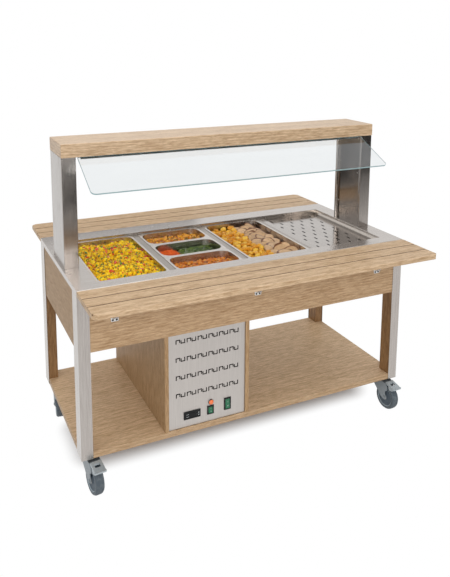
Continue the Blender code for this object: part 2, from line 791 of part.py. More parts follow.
# ---- sneeze glass hung from a clip rail under the canopy's front edge
glassHalf = postIn - glassSide
glassTop = Vector((canopyY[0] + glassTuck, canopyBottom - glassDown))
fall = math.radians(glassFall)
slope = Vector((-math.cos(fall), -math.sin(fall)))
normal = Vector((slope.y, -slope.x))


def glassPoint(x, d, off):
    p = glassTop + slope * d + normal * off
    return (x, p.x, p.y)


sheet = [(glassHalf, 0.0), (glassHalf, glassRun), (-glassHalf, glassRun), (-glassHalf, 0.0)]
sheet = softened(sheet, {1: glassCorner, 2: glassCorner}, 5)
place("sneeze_glass", newSkin([[glassPoint(x, d, off) for x, d in sheet] for off in (0.0, -glassThick)]), "glass")

back = glassThick + gap
zc = canopyBottom - gap


def railPoint(d, off):
    return glassPoint(0, d, -off)[1:]


railStart = canopyY[0] + glassTuck + glassThick * math.sin(fall) + railLip
rail = [(canopyY[0] + railDeep, zc), (railStart, zc), railPoint(0.0, back), railPoint(railGrip, back),
        railPoint(railGrip, back + railLip), railPoint(-railLip, back + railLip),
        (railStart + railSheet, zc - railSheet), (canopyY[0] + railDeep, zc - railSheet)]
place("glass_rail", newPrism(rail, "x", -glassHalf + railEnd, glassHalf - railEnd), "zinc")

# ---- folding tray slides: grooved board, hinged arms, wall plates and the folding stay of each side
hingeZ = top - hingeDown
pivotZ = top - stayPivotDown
bracketX = (-halfL + bracketEnd, 0.0, halfL - bracketEnd)
underSlide = top - slideThick - gap
for side, t in sides:
    hingeY = t * (halfW + hingeOut)
    y0 = t * (halfW + slideClear)
    y1 = t * (halfW + slideDepth)
    cut = slideChamfer
    outline = [(-halfL, y0), (halfL, y0), (halfL, y1 - t * cut), (halfL - cut, y1), (-halfL + cut, y1), (-halfL, y1 - t * cut)]
    grooves = bmesh.new()
    for share in grooveAt:
        gy = y0 + (y1 - y0) * share
        addBox(grooves, (-halfL - 0.01, gy - grooveWide / 2, top - grooveDeep), (halfL + 0.01, gy + grooveWide / 2, top + 0.01))
    board = softPrism(outline, "z", top - slideThick, top, 0.001)
    place("slide_" + side, combine(board, [grooves], "DIFFERENCE"), "oak", (0, hingeY, hingeZ))

    # three hinge knuckles on the moving strap lie beside three on the wall plate
    firstKnuckle = -hingePitch - knuckleLong / 4
    strapEnd = halfL - bracketEnd + bracketWide * 1.9
    parts = [newBox((-strapEnd, hingeY - t * 0.006, underSlide - strapSheet), (strapEnd, hingeY + t * 0.024, underSlide))]
    for bx in bracketX:
        strap = [(bx - bracketWide / 2, hingeY + t * 0.010), (bx + bracketWide / 2, hingeY + t * 0.010),
                 (bx + bracketWide / 2, hingeY + t * strapLong), (bx - bracketWide / 2, hingeY + t * strapLong)]
        strap = softened(strap, {2: bracketWide / 4, 3: bracketWide / 4}, 2)
        parts.append(newPrism(strap, "z", underSlide - strapSheet, underSlide))
    for i in range(3):
        kx = firstKnuckle + hingePitch * i
        parts.append(newPrism(circle(hingeY, hingeZ, knuckleRadius, 12), "x", kx, kx + knuckleLong))
        parts.append(newBox((kx, hingeY - webThick / 2, hingeZ), (kx + knuckleLong, hingeY + webThick / 2, underSlide - strapSheet / 2)))
    place("slide_arms_" + side, combine(parts[0], parts[1:], "UNION"), "zinc", (0, hingeY, hingeZ))

    wall = t * (coreY + gap)
    face = t * (halfW + footSheet)
    wallTop = top - edgeDrop - 2.5 * gap
    plateEnd = halfL - bracketEnd + bracketWide * 0.8
    parts = [newBox((-plateEnd, wall, hingeZ - 0.016), (plateEnd, face, wallTop))]
    lugs = []
    for bx in bracketX:
        foot = [(bx - bracketWide / 2, wallTop - 0.002), (bx - bracketWide / 2, top - bracketDown),
                (bx + bracketWide / 2, top - bracketDown), (bx + bracketWide / 2, wallTop - 0.002)]
        foot = softened(foot, {1: bracketWide / 8, 2: bracketWide / 8}, 2)
        parts.append(newPrism(foot, "y", min(wall, face), max(wall, face)))
        for ear in (-1, 1):
            reach = t * (halfW + hingeOut)
            root = face - t * footSheet
            lug = [(root, pivotZ - earHalf), (reach, pivotZ - earHalf), (reach + t * earHalf, pivotZ),
                   (reach, pivotZ + earHalf), (root, pivotZ + earHalf)]
            ends = sorted((bx + ear * earGap, bx + ear * (earGap + earSheet)))
            lugs.append(newPrism(lug, "x", *ends))
    for i in range(3):
        kx = firstKnuckle + hingePitch * i + knuckleLong * 1.1
        parts.append(newPrism(circle(hingeY, hingeZ, knuckleRadius, 12), "x", kx, kx + knuckleLong))
        parts.append(newBox((kx, face - t * 0.0005, hingeZ - webThick / 2), (kx + knuckleLong, hingeY, hingeZ + webThick / 2)))
    plates = combine(combine(parts[0], parts[1:], "UNION"), lugs, "UNION")
    place("bracket_plates_" + side, plates, "zinc")

    foot = Vector((0, hingeY + t * gap, pivotZ))
    tip = foot + Vector((0, t * stayReach, math.sqrt(stayLength**2 - stayReach**2)))
    run = (tip - foot).normalized()
    thick = Vector((0, -run.z, run.y)) * (stayBar / 2)
    rodHalf = halfL - bracketEnd + rodEnd
    parts = [newPrism(circle(tip.y, tip.z, rodRadius, 12), "x", -rodHalf, rodHalf)]
    for bx in bracketX:
        blade = [foot + thick, foot - thick, tip - thick, tip + thick]
        parts.append(newPrism([(p.y, p.z) for p in blade], "x", bx - stayHalf, bx + stayHalf))
        parts.append(newPrism(circle(foot.y, foot.z, earHalf - 0.0005, 12), "x", bx - stayHalf, bx + stayHalf))
    place("slide_stay_" + side, combine(parts[0], parts[1:], "UNION"), "zinc", foot)

# ---- castors: cast fork with raceway and bridge, wheel with a rimmed tyre, brake pedal
forkTop = castorHeight - castorClear
axleZ = wheelRadius
slotHalf = wheelWide / 2 + wheelClear
forkHalf = slotHalf + cheekSheet
wheelHead = wheelRadius + 2 * wheelClear
bridgeZ = axleZ + wheelHead


def castorFork():
    """The fork about the swivel axis: its side outline is cut through the wheel's path to leave two cheeks."""
    under = forkTop - 0.005
    outline = [(-0.034, under), (0.026, under), (pedalHinge - 0.009, forkTop - 0.0135), (pedalHinge + 0.002, forkTop - 0.030),
               (pedalHinge + 0.006, forkTop - 0.042), (pedalHinge + 0.002, forkTop - 0.053),
               (castorTrail + 0.004, forkTop - 0.060), (castorTrail + 0.006, axleZ + 0.020),
               (castorTrail + bossRadius, axleZ + 0.002), (castorTrail + bossRadius * 0.5, axleZ - bossRadius),
               (castorTrail - bossRadius * 0.6, axleZ - bossRadius), (castorTrail / 2, axleZ - 0.002),
               (-0.030, forkTop - 0.042), (-0.036, forkTop - 0.024)]
    outline = softened(outline, {0: 0.004, 1: 0.010, 2: 0.004, 3: 0.006, 4: 0.005, 5: 0.005, 6: 0.008, 7: 0.008, 8: 0.006,
                                 9: 0.006, 10: 0.007, 11: 0.010, 12: 0.010}, 2)
    body = softPrism(outline, "y", -forkHalf, forkHalf, 0.0022)
    cup = newSkin([raised(circle(0, 0, r, 24), z) for r, z in
                   ((cupRadius - 0.004, forkTop - cupHigh), (cupRadius, forkTop - cupHigh + 0.004), (cupRadius, forkTop - 0.002),
                    (cupRadius - 0.003, forkTop))])
    axle = newPrism(circle(castorTrail, axleZ, axleRadius, 12), "y", -forkHalf - axleProud, forkHalf + axleProud)
    path = newPrism(circle(castorTrail, axleZ, wheelHead, 32), "y", -slotHalf, slotHalf)
    keep = newPrism(circle(castorTrail, axleZ, axleRadius, 12), "y", -forkHalf, forkHalf)
    fork = combine(body, [cup, axle], "UNION")
    return combine(fork, [combine(path, [keep], "DIFFERENCE")], "DIFFERENCE")


def castorWheel():
    """A ring about the axle: hub, recessed web, raised rim and a tyre with rounded shoulders."""
    h, r = wheelWide / 2, wheelRadius
    bore = axleRadius + 0.001
    side = [(bore, h + 0.0010), (0.016, h + 0.0010), (0.019, h - 0.0045), (r - 0.020, h - 0.0045), (r - 0.016, h),
            (r - 0.005, h), (r - 0.0012, h * 0.74), (r, treadAt + treadGroove), (r - treadGroove, treadAt),
            (r, treadAt - treadGroove)]
    rows = [(a, b) for a, b in side] + [(a, -b) for a, b in reversed(side)]
    loops = []
    for i in range(26):
        turn = 2 * math.pi * i / 26
        loops.append([(a * math.cos(turn), b, a * math.sin(turn)) for a, b in rows])
    return newSkin(loops, closed=True)


def castorPedal():
    """The brake pedal caps the fork's open end: a sloped plate with a window, two side skirts and a flared tip."""
    a, z = pedalHinge, forkTop
    half = forkHalf - bearing
    slope = [(a - 0.006, z - 0.0095), (a + 0.030, z - 0.0170), (pedalReach, z - 0.0240), (pedalReach, z - 0.0275),
             (a + 0.026, z - 0.0220), (a + 0.010, z - 0.0215), (a + 0.0035, z - 0.0200), (a - 0.006, z - 0.0118)]
    slope = softened(slope, {1: 0.010, 4: 0.008}, 2)
    body = softPrism(slope, "y", -half, half, 0.0010)
    flank = [(a + 0.012, z - 0.0180), (a + 0.022, z - 0.0415), (a + 0.044, z - 0.0355), (pedalReach - 0.004, z - 0.0260)]
    flank = softened(flank, {1: 0.006, 2: 0.006}, 2)
    skirts = [newPrism(flank, "y", *sorted((side * half, side * (half - pedalSkirt)))) for side in (-1, 1)]
    tip = [(pedalReach - 0.019, -half + 0.001), (pedalReach - 0.006, -pedalTip / 2), (pedalReach + 0.001, -pedalTip / 2),
           (pedalReach + 0.001, pedalTip / 2), (pedalReach - 0.006, pedalTip / 2), (pedalReach - 0.019, half - 0.001)]
    tip = softened(tip, {1: 0.004, 2: 0.003, 3: 0.003, 4: 0.004}, 2)
    paddle = newPrism(tip, "z", z - 0.0290, z - 0.0225)
    window = newBox((a + 0.007, -half * 0.5, z - 0.06), (a + 0.027, half * 0.5, z + 0.01))
    return combine(combine(body, skirts + [paddle], "UNION"), [window], "DIFFERENCE")


for corner, sx, sy in corners:
    cx = sx * (halfL - castorEnd)
    cy = sy * (halfW - castorSide)
    spin = Matrix.Translation((cx, cy, 0)) @ Matrix.Rotation(math.radians(castorTurn[corner]), 4, "Z")
    fork = castorFork()
    moveAll(fork, spin)
    place("castor_fork_" + corner, fork, "zinc", (cx, cy, forkTop))
    wheel = castorWheel()
    moveAll(wheel, spin @ Matrix.Translation((castorTrail, 0, axleZ)))
    place("castor_wheel_" + corner, wheel, "tyre", spin @ Vector((castorTrail, 0, axleZ)), smooth=True)
    pedal = castorPedal()
    moveAll(pedal, spin)
    place("castor_pedal_" + corner, pedal, "zinc", spin @ Vector((pedalHinge, 0, forkTop - 0.016)))
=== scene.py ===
import json
import math
import random

import bmesh
import bpy
from mathutils import Matrix, Vector, noise

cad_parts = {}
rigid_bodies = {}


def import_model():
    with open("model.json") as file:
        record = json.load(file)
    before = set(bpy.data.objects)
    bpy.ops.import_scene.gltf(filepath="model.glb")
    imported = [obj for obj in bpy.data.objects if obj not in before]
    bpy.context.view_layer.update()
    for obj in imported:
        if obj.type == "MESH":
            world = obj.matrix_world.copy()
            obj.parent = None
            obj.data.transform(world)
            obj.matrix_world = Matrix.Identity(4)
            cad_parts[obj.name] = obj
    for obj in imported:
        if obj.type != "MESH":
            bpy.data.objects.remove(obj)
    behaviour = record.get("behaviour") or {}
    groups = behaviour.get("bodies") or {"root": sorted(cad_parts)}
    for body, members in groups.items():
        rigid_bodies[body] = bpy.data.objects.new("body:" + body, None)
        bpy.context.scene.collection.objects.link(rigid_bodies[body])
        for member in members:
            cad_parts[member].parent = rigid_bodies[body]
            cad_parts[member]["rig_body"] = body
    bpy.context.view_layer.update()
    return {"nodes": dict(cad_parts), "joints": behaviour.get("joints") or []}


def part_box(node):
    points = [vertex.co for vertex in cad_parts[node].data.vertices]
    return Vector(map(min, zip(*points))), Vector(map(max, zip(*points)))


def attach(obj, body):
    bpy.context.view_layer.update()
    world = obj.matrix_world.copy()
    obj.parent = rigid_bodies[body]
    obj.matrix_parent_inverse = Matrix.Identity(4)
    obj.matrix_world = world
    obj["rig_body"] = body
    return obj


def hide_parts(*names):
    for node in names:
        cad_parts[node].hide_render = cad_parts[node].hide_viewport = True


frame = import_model()
joints = {joint["name"]: joint for joint in frame["joints"]}


def screenTone(red, green, blue):  # a colour as it shows on a screen, from 0 to 255
    def lit(value):
        value = value / 255
        return value / 12.92 if value <= 0.04045 else ((value + 0.055) / 1.055) ** 2.4

    return (lit(red), lit(green), lit(blue), 1.0)


# short ways to write node trees


def put(tree, kind, **settings):
    node = tree.nodes.new("ShaderNode" + kind)
    for key, value in settings.items():
        setattr(node, key, value)
    return node


def isSocket(value):
    return isinstance(value, bpy.types.NodeSocket)


def feed(value, socket):  # a link from another socket, or a plain value
    if isSocket(value):
        socket.id_data.links.new(value, socket)
    elif value is not None:
        socket.default_value = value


def fedNode(values, kind, places=None, **settings):  # a node in its values' own tree, with its inputs fed in order
    node = put(next(value.id_data for value in values if isSocket(value)), kind, **settings)
    for k, value in enumerate(values):
        feed(value, node.inputs[places[k] if places else k])
    return node


def sums(operation, first, second=None, clamp=False):
    return fedNode((first, second), "Math", operation=operation, use_clamp=clamp).outputs[0]


def times(first, second):
    return sums("MULTIPLY", first, second)


def plus(first, second, clamp=False):
    return sums("ADD", first, second, clamp)


def minus(first, second):
    return sums("SUBTRACT", first, second)


def vectors(operation, first, second=None):
    node = fedNode((first, second), "VectorMath", operation=operation)
    return node.outputs["Value" if operation in ("LENGTH", "DOT_PRODUCT") else 0]


def split(vector):
    return fedNode((vector,), "SeparateXYZ").outputs


def joined(x, y, z):
    return fedNode((x, y, z), "CombineXYZ").outputs[0]


def between(share, *tones):  # a mix of two colours, each a socket or a tone from 0 to 255
    tones = [tone if isSocket(tone) else screenTone(*tone) for tone in tones]
    return fedNode((share, *tones), "Mix", (0, 6, 7), data_type="RGBA", clamp_factor=True).outputs[2]


def either(share, first, second):  # a mix of two vectors
    return fedNode((share, first, second), "Mix", (0, 4, 5), data_type="VECTOR").outputs[1]


def spread(value, low, high, newLow=0.0, newHigh=1.0):  # a value moved to another range
    return fedNode((value, low, high, newLow, newHigh), "MapRange", interpolation_type="SMOOTHSTEP").outputs[0]


def cloudy(vector, scale, detail=4.0, roughness=0.55, distortion=0.0):
    labels = ("Vector", "Scale", "Detail", "Roughness", "Distortion")
    return fedNode((vector, scale, detail, roughness, distortion), "TexNoise", labels).outputs["Fac"]


def stretched(vector, scales, *settings):  # a noise drawn out along one way
    return cloudy(vectors("MULTIPLY", vector, scales), 1.0, *settings)


def newSockets(group, side, rows):
    for label, kind, *value in rows:
        socket = group.interface.new_socket(label, in_out=side, socket_type="NodeSocket" + kind)
        if value:
            socket.default_value = value[0]


def newGroup(name, inputs, outputs=(("Color", "Color"), ("Roughness", "Float"), ("Height", "Float"))):
    group = bpy.data.node_groups.new(name, "ShaderNodeTree")
    newSockets(group, "INPUT", [("Vector", "Vector"), *inputs])
    newSockets(group, "OUTPUT", outputs)
    return group, group.nodes.new("NodeGroupInput").outputs, group.nodes.new("NodeGroupOutput").inputs


def useGroup(tree, group, **values):
    node = tree.nodes.new("ShaderNodeGroup")
    node.node_tree = group
    for name, value in values.items():
        feed(value, node.inputs[name])
    return node.outputs


def newFinish(name, **plain):  # a material with its Principled shader, and the object's own coordinates
    material = bpy.data.materials.new(name)
    material.use_nodes = True
    tree = material.node_tree
    shader = tree.nodes["Principled BSDF"]
    for label, value in plain.items():
        shader.inputs[label.replace("_", " ")].default_value = value
    place = put(tree, "TexCoord").outputs["Object"]
    return material, tree, shader.inputs, place


def dress(sockets, tone, rough, height, strength, distance):  # colour, roughness and relief of a finish
    relief = fedNode((height, strength, distance), "Bump", ("Height", "Strength", "Distance")).outputs[0]
    for label, value in (("Base Color", tone), ("Roughness", rough), ("Normal", relief)):
        feed(value, sockets[label])


# shared effects

woodGrain = {
    "wander": 0.035,  # how far the grain strays sideways, in metres
    "rings": (0.55, 15.0, 15.0),
    "broad": (14.0, 140.0, 140.0),
    "fine": (24.0, 320.0, 320.0),
    "pores": (40.0, 620.0, 620.0),
    "poreTone": (112, 80, 50),
}


def makeOakGrain():  # light oak with its grain along the first coordinate
    group, given, out = newGroup("oakGrain", [
        ("Pale", "Color"), ("Deep", "Color"), ("Rings", "Float"), ("Streaks", "Float"), ("Pores", "Float", 0.4)])
    wander = stretched(given["Vector"], (1.7, 6.0, 6.0), 2.0)
    sideways = times(minus(wander, 0.5), woodGrain["wander"])
    drift = vectors("ADD", given["Vector"], joined(0.0, sideways, 0.0))
    ringSpace = vectors("ADD", vectors("MULTIPLY", drift, woodGrain["rings"]), (0.0, 3.1, 1.7))
    labels = ("Vector", "Scale", "Distortion", "Detail", "Detail Scale")
    rings = fedNode((ringSpace, 1.6, 2.2, 2.0, 0.8), "TexWave", labels,
                    wave_type="RINGS", rings_direction="X", wave_profile="SAW")
    broad = stretched(drift, woodGrain["broad"], 5.0, 0.75, 0.5)
    fine = stretched(drift, woodGrain["fine"], 4.0, 0.65)
    pores = spread(stretched(drift, woodGrain["pores"], 2.0, 0.5), 0.56, 0.68)
    ringPart = times(spread(rings.outputs["Fac"], 0.25, 1.0), given["Rings"])
    streakPart = times(spread(broad, 0.36, 0.64), given["Streaks"])
    finePart = times(spread(fine, 0.36, 0.68), 0.45)
    dark = plus(plus(ringPart, streakPart), finePart, clamp=True)
    wood = between(dark, given["Pale"], given["Deep"])
    poreShare = times(pores, given["Pores"])
    feed(between(poreShare, wood, woodGrain["poreTone"]), out["Color"])
    feed(plus(0.44, times(fine, 0.16)), out["Roughness"])
    feed(minus(times(fine, 0.5), pores), out["Height"])
    return group


def makeBrushed():  # steel brushed along the first coordinate
    group, given, out = newGroup("brushedSteel", [
        ("Pale", "Color"), ("Deep", "Color"), ("Rough", "Float"), ("Smears", "Float")])
    lines = stretched(given["Vector"], (12.0, 1500.0, 1500.0), 3.0, 0.6)
    bands = stretched(given["Vector"], (3.0, 200.0, 200.0), 2.0, 0.5)
    cloud = cloudy(given["Vector"], 7.0, 4.0, 0.6, 0.6)
    tone = plus(times(lines, 0.8), times(bands, 0.2))
    smear = times(spread(cloud, 0.4, 0.75), given["Smears"])
    feed(between(spread(tone, 0.3, 0.7), given["Pale"], given["Deep"]), out["Color"])
    rough = plus(given["Rough"], times(lines, 0.08))
    feed(plus(rough, times(smear, 0.1)), out["Roughness"])
    feed(lines, out["Height"])
    return group


def makeMould():  # a moulded or dipped surface: a fine even skin with a few dull patches
    group, given, out = newGroup("mouldedSkin", [
        ("Tone", "Color"), ("Rough", "Float"), ("Mottle", "Float"), ("Grit", "Float")])
    patch = cloudy(given["Vector"], 26.0, 4.0, 0.6)
    lighter = between(0.35, given["Tone"], (190, 192, 194))
    share = times(spread(patch, 0.45, 0.8), given["Mottle"])
    feed(between(share, given["Tone"], lighter), out["Color"])
    feed(plus(given["Rough"], times(patch, 0.14)), out["Roughness"])
    feed(cloudy(given["Vector"], given["Grit"], 2.0), out["Height"])
    return group


def makeAxleDistance():  # how far a point is from a wheel's axle
    group, given, out = newGroup("axleDistance", [("Centre", "Vector"), ("Axle", "Vector")], [("Radius", "Float")])
    away = vectors("SUBTRACT", given["Vector"], given["Centre"])
    across = vectors("DOT_PRODUCT", away, given["Axle"])
    whole = vectors("LENGTH", away)
    squared = minus(times(whole, whole), times(across, across))
    feed(sums("SQRT", sums("MAXIMUM", squared, 0.0)), out["Radius"])
    return group


oakGrain, brushedSteel, mouldedSkin, axleDistance = makeOakGrain(), makeBrushed(), makeMould(), makeAxleDistance()
grainOrders = {"x": (0, 1, 2), "y": (1, 0, 2), "z": (2, 0, 1)}
print("shared effects made:", len(bpy.data.node_groups))


def facing(tree, axis):  # how squarely a surface faces along an axis, from 0 to 1
    return sums("ABSOLUTE", split(put(tree, "NewGeometry").outputs["True Normal"])[axis])


def turned(place, along, shift=(0.0, 0.0, 0.0)):  # coordinates in another order, so that the grain turns
    parts = split(vectors("ADD", place, shift))
    return joined(*(parts[i] for i in grainOrders[along]))


def within(place, low, high):  # 1 inside a box and 0 outside it
    middle, half = (Vector(high) + Vector(low)) / 2, (Vector(high) - Vector(low)) / 2
    away = vectors("ABSOLUTE", vectors("SUBTRACT", place, tuple(middle)))
    parts = split(vectors("SUBTRACT", away, tuple(half)))
    outermost = sums("MAXIMUM", sums("MAXIMUM", parts[0], parts[1]), parts[2])
    return sums("LESS_THAN", outermost, 0.0)


def darkened(place, tone, boxes, shade):  # boxes in which a finish is painted dark as shade, such as a groove
    for low, high in boxes:
        tone = between(within(place, low, high), tone, shade)
    return tone


boards = {
    "pale": (219, 191, 157),
    "deep": (160, 128, 92),
    # painted shade for the slides' grooves and the inside of the cabinet
    "shade": (72, 50, 32),
    # painted shade on the boards' upright edges
    "edgeShade": (112, 80, 46),
    "sheen": 0.35,
    "relief": (0.25, 0.0004),
}


def grained(tree, vector, pale, deep, streaks=0.5):
    return useGroup(tree, oakGrain, Vector=vector, Pale=screenTone(*pale), Deep=screenTone(*deep), Rings=0.2,
                    Streaks=streaks)


def oakFinish(name, along, ends=None, shift=(0.0, 0.0, 0.0), pale=boards["pale"], deep=boards["deep"], shaded=(),
              edgeShade=0.0, **plain):
    material, tree, sockets, place = newFinish(name, **{"Specular_IOR_Level": boards["sheen"], **plain})
    vector = turned(place, along, shift)
    if ends:  # faces across the board's own length have their edging's grain
        isEnd = sums("GREATER_THAN", facing(tree, "xyz".index(along)), 0.7)
        vector = either(isEnd, vector, turned(place, ends, shift))
    grain = grained(tree, vector, pale, deep)
    tone = grain["Color"]
    if edgeShade:  # the boards' upright edges are painted a little darker, as shade
        upright = sums("LESS_THAN", facing(tree, 2), 0.5)
        tone = between(times(upright, edgeShade), tone, boards["edgeShade"])
    tone = darkened(place, tone, shaded, boards["shade"])
    dress(sockets, tone, grain["Roughness"], grain["Height"], *boards["relief"])
    return material


def steelFinish(name, along, pale, deep, rough, smears=0.5, shaded=()):
    material, tree, sockets, place = newFinish(name, Metallic=1.0)
    metal = useGroup(tree, brushedSteel, Vector=turned(place, along), Rough=rough, Smears=smears,
                     Pale=screenTone(*pale), Deep=screenTone(*deep))
    # the shaded boxes are painted a darker tone, as shade
    tone = darkened(place, metal["Color"], shaded, (186, 178, 170))
    dress(sockets, tone, metal["Roughness"], metal["Height"], 0.08, 0.0002)
    return material


def skinFinish(name, tone, rough, mottle=0.1, grit=900.0, strength=0.1, toneAt=None, **plain):
    material, tree, sockets, place = newFinish(name, **plain)
    tone = toneAt(place) if toneAt else screenTone(*tone)
    skin = useGroup(tree, mouldedSkin, Vector=place, Tone=tone, Rough=rough, Mottle=mottle, Grit=grit)
    dress(sockets, skin["Color"], skin["Roughness"], skin["Height"], strength, 0.0003)
    return material


# shapes become meshes, and meshes become pieces that ride their bodies

bodyOf = {name: node["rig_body"] for name, node in frame["nodes"].items()}
made = {}


def meshOf(name, shape, outward=True):
    if outward:
        bmesh.ops.recalc_face_normals(shape, faces=shape.faces[:])
    mesh = bpy.data.meshes.new(name)
    shape.to_mesh(mesh)
    shape.free()
    return mesh


def linked(name, data):
    piece = bpy.data.objects.new(name, data)
    bpy.context.scene.collection.objects.link(piece)
    return piece


def placed(name, mesh, body, angle, even=False):
    mesh.shade_smooth()
    mesh.set_sharp_from_angle(angle=math.radians(angle))
    piece = linked(name, mesh)
    if even:
        piece.modifiers.new("evenNormals", "WEIGHTED_NORMAL").keep_sharp = True
    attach(piece, body)
    made[name] = piece
    return piece


def finished(name, mesh, finish, body, angle):
    mesh.materials.clear()
    mesh.materials.append(finish)
    return placed(name, mesh, body, angle, even=True)


def smoothCopy(nodeName, finish):  # a CAD piece with its flat faces made whole again
    shape = bmesh.new()
    shape.from_mesh(frame["nodes"][nodeName].data)
    bmesh.ops.remove_doubles(shape, verts=shape.verts[:], dist=0.00001)
    bmesh.ops.dissolve_limit(shape, angle_limit=math.radians(0.6), verts=shape.verts[:], edges=shape.edges[:])
    name = nodeName + "_look"
    piece = finished(name, meshOf(name, shape, outward=False), finish, bodyOf[nodeName], 38.0)
    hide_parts(nodeName)


def following(count):  # each place in a closed row, with the one after it
    return [(k, (k + 1) % count) for k in range(count)]


def wall(shape, near, far):  # faces between two closed rows
    for k, n in following(len(near)):
        shape.faces.new((near[k], far[k], far[n], near[n]))


# finishes


def grooveBoxes(nodeName):  # the depth of a tray slide's grooves, clear of its own edges, where the oak is painted dark as shade
    low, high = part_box(nodeName)
    return [((low.x + 0.001, low.y + 0.012, high.z - 0.0046), (high.x - 0.001, high.y - 0.012, high.z - 0.0001))]


# the inside of the cabinet, where its boards and the shelf are painted dark as shade
def cabinetInside():
    left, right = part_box("cabinet_left")[1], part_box("cabinet_right")[0]
    front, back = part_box("control_panel")[0].y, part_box("cabinet_back")[0].y
    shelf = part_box("lower_shelf")[1].z
    return [((left.x - 0.0005, front, shelf - 0.001), (right.x + 0.0005, back + 0.001, left.z))]


def recessInside():  # the walls of the worktop's recess, painted darker as shade
    low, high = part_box("pan_bars")[0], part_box("perforated_plate")[1]
    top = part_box("worktop")[1].z
    return [((low.x - 0.004, low.y - 0.004, top - 0.06), (high.x + 0.004, high.y + 0.004, top - 0.0022))]


def makeEndOak():  # an end board's grain runs level, and its legs' grain runs upright; the board has darker tones than the other boards, as painted shade on the ends, and the legs below it are darker still, as painted shade
    material, tree, sockets, place = newFinish("endOak", Specular_IOR_Level=0.3)
    isLeg = sums("LESS_THAN", split(place)["Z"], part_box("apron_front")[0].z)
    vector = either(isLeg, turned(place, "y", (0.2, 0.1, 0.4)), turned(place, "z"))
    board = grained(tree, vector, (186, 155, 118), (136, 104, 68), 0.42)
    leg = grained(tree, vector, (172, 134, 92), (114, 82, 50))
    tone = between(isLeg, board["Color"], leg["Color"])
    dress(sockets, tone, board["Roughness"], board["Height"], *boards["relief"])
    return material


castors = {"cupFrom": 0.1385, "hub": 0.0135, "ring": 0.0435, "edge": 0.0468}


def forkTones(place):  # a grey fork, with the swivel cup above it painted dark slate as shade under the leg
    cup = sums("GREATER_THAN", split(place)["Z"], castors["cupFrom"])
    return between(cup, (136, 143, 147), (84, 90, 94))


def makeWheelFinish(corner):  # metal hub, dark web, a paler ring, then the slate tyre
    joint = joints[f"wheel_{corner}_spin"]
    material, tree, sockets, place = newFinish(f"wheelSlate_{corner}")
    radius = useGroup(tree, axleDistance, Vector=place, Centre=joint["pos_m"], Axle=joint["axis"])["Radius"]
    dust = cloudy(place, 45.0, 4.0, 0.6)
    tone = between(spread(dust, 0.4, 0.8), (72, 82, 90), (108, 116, 120))
    for zone, colour in (("edge", (158, 172, 180)), ("ring", (76, 88, 98)), ("hub", (190, 190, 188))):
        inZone = sums("LESS_THAN", radius, castors[zone])
        tone = between(inZone, tone, colour)
    feed(times(inZone, 0.9), sockets["Metallic"])  # the hub, which is the last zone
    dress(sockets, tone, spread(dust, 0.2, 0.9, 0.5, 0.75), cloudy(place, 800.0, 2.0), 0.12, 0.0003)
    return material


def makeLampFinish():  # a dark ring behind a domed amber lens
    material, _, sockets, place = newFinish("amberLens", Coat_Weight=0.5)
    low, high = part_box("pilot_lamp")
    centre = ((low.x + high.x) / 2, 0.0, (low.z + high.z) / 2)
    away = vectors("SUBTRACT", vectors("MULTIPLY", place, (1.0, 0.0, 1.0)), centre)
    isRing = sums("GREATER_THAN", vectors("LENGTH", away), (high.x - low.x) * 0.5 - 0.0016)
    glowing = cloudy(place, 240.0, 2.0)
    amber = between(glowing, (255, 132, 66), (240, 104, 44))
    feed(between(isRing, amber, (40, 36, 34)), sockets["Base Color"])
    feed(spread(glowing, 0.2, 0.8, 0.14, 0.24), sockets["Roughness"])
    return material


glassPane = {"fall": math.radians(25.6)}
glassPane["normal"] = (0.0, -math.sin(glassPane["fall"]), math.cos(glassPane["fall"]))


def makeGlassFinish():  # clear pane with blue-green edges
    material, tree, sockets, place = newFinish("paneGlass", Transmission_Weight=1.0, IOR=1.46, Metallic=0.0)
    normal = put(tree, "NewGeometry").outputs["True Normal"]
    square = sums("ABSOLUTE", vectors("DOT_PRODUCT", normal, glassPane["normal"]))
    isEdge = sums("LESS_THAN", square, 0.6)
    streak = cloudy(vectors("MULTIPLY", place, (1.0, 6.0, 6.0)), 3.0, 3.0)
    clear = between(streak, (234, 237, 238), (240, 243, 244))
    feed(between(isEdge, clear, (180, 218, 220)), sockets["Base Color"])
    smooth = spread(streak, 0.3, 0.8, 0.0, 0.02)
    feed(sums("MAXIMUM", smooth, times(isEdge, 0.6)), sockets["Roughness"])
    return material


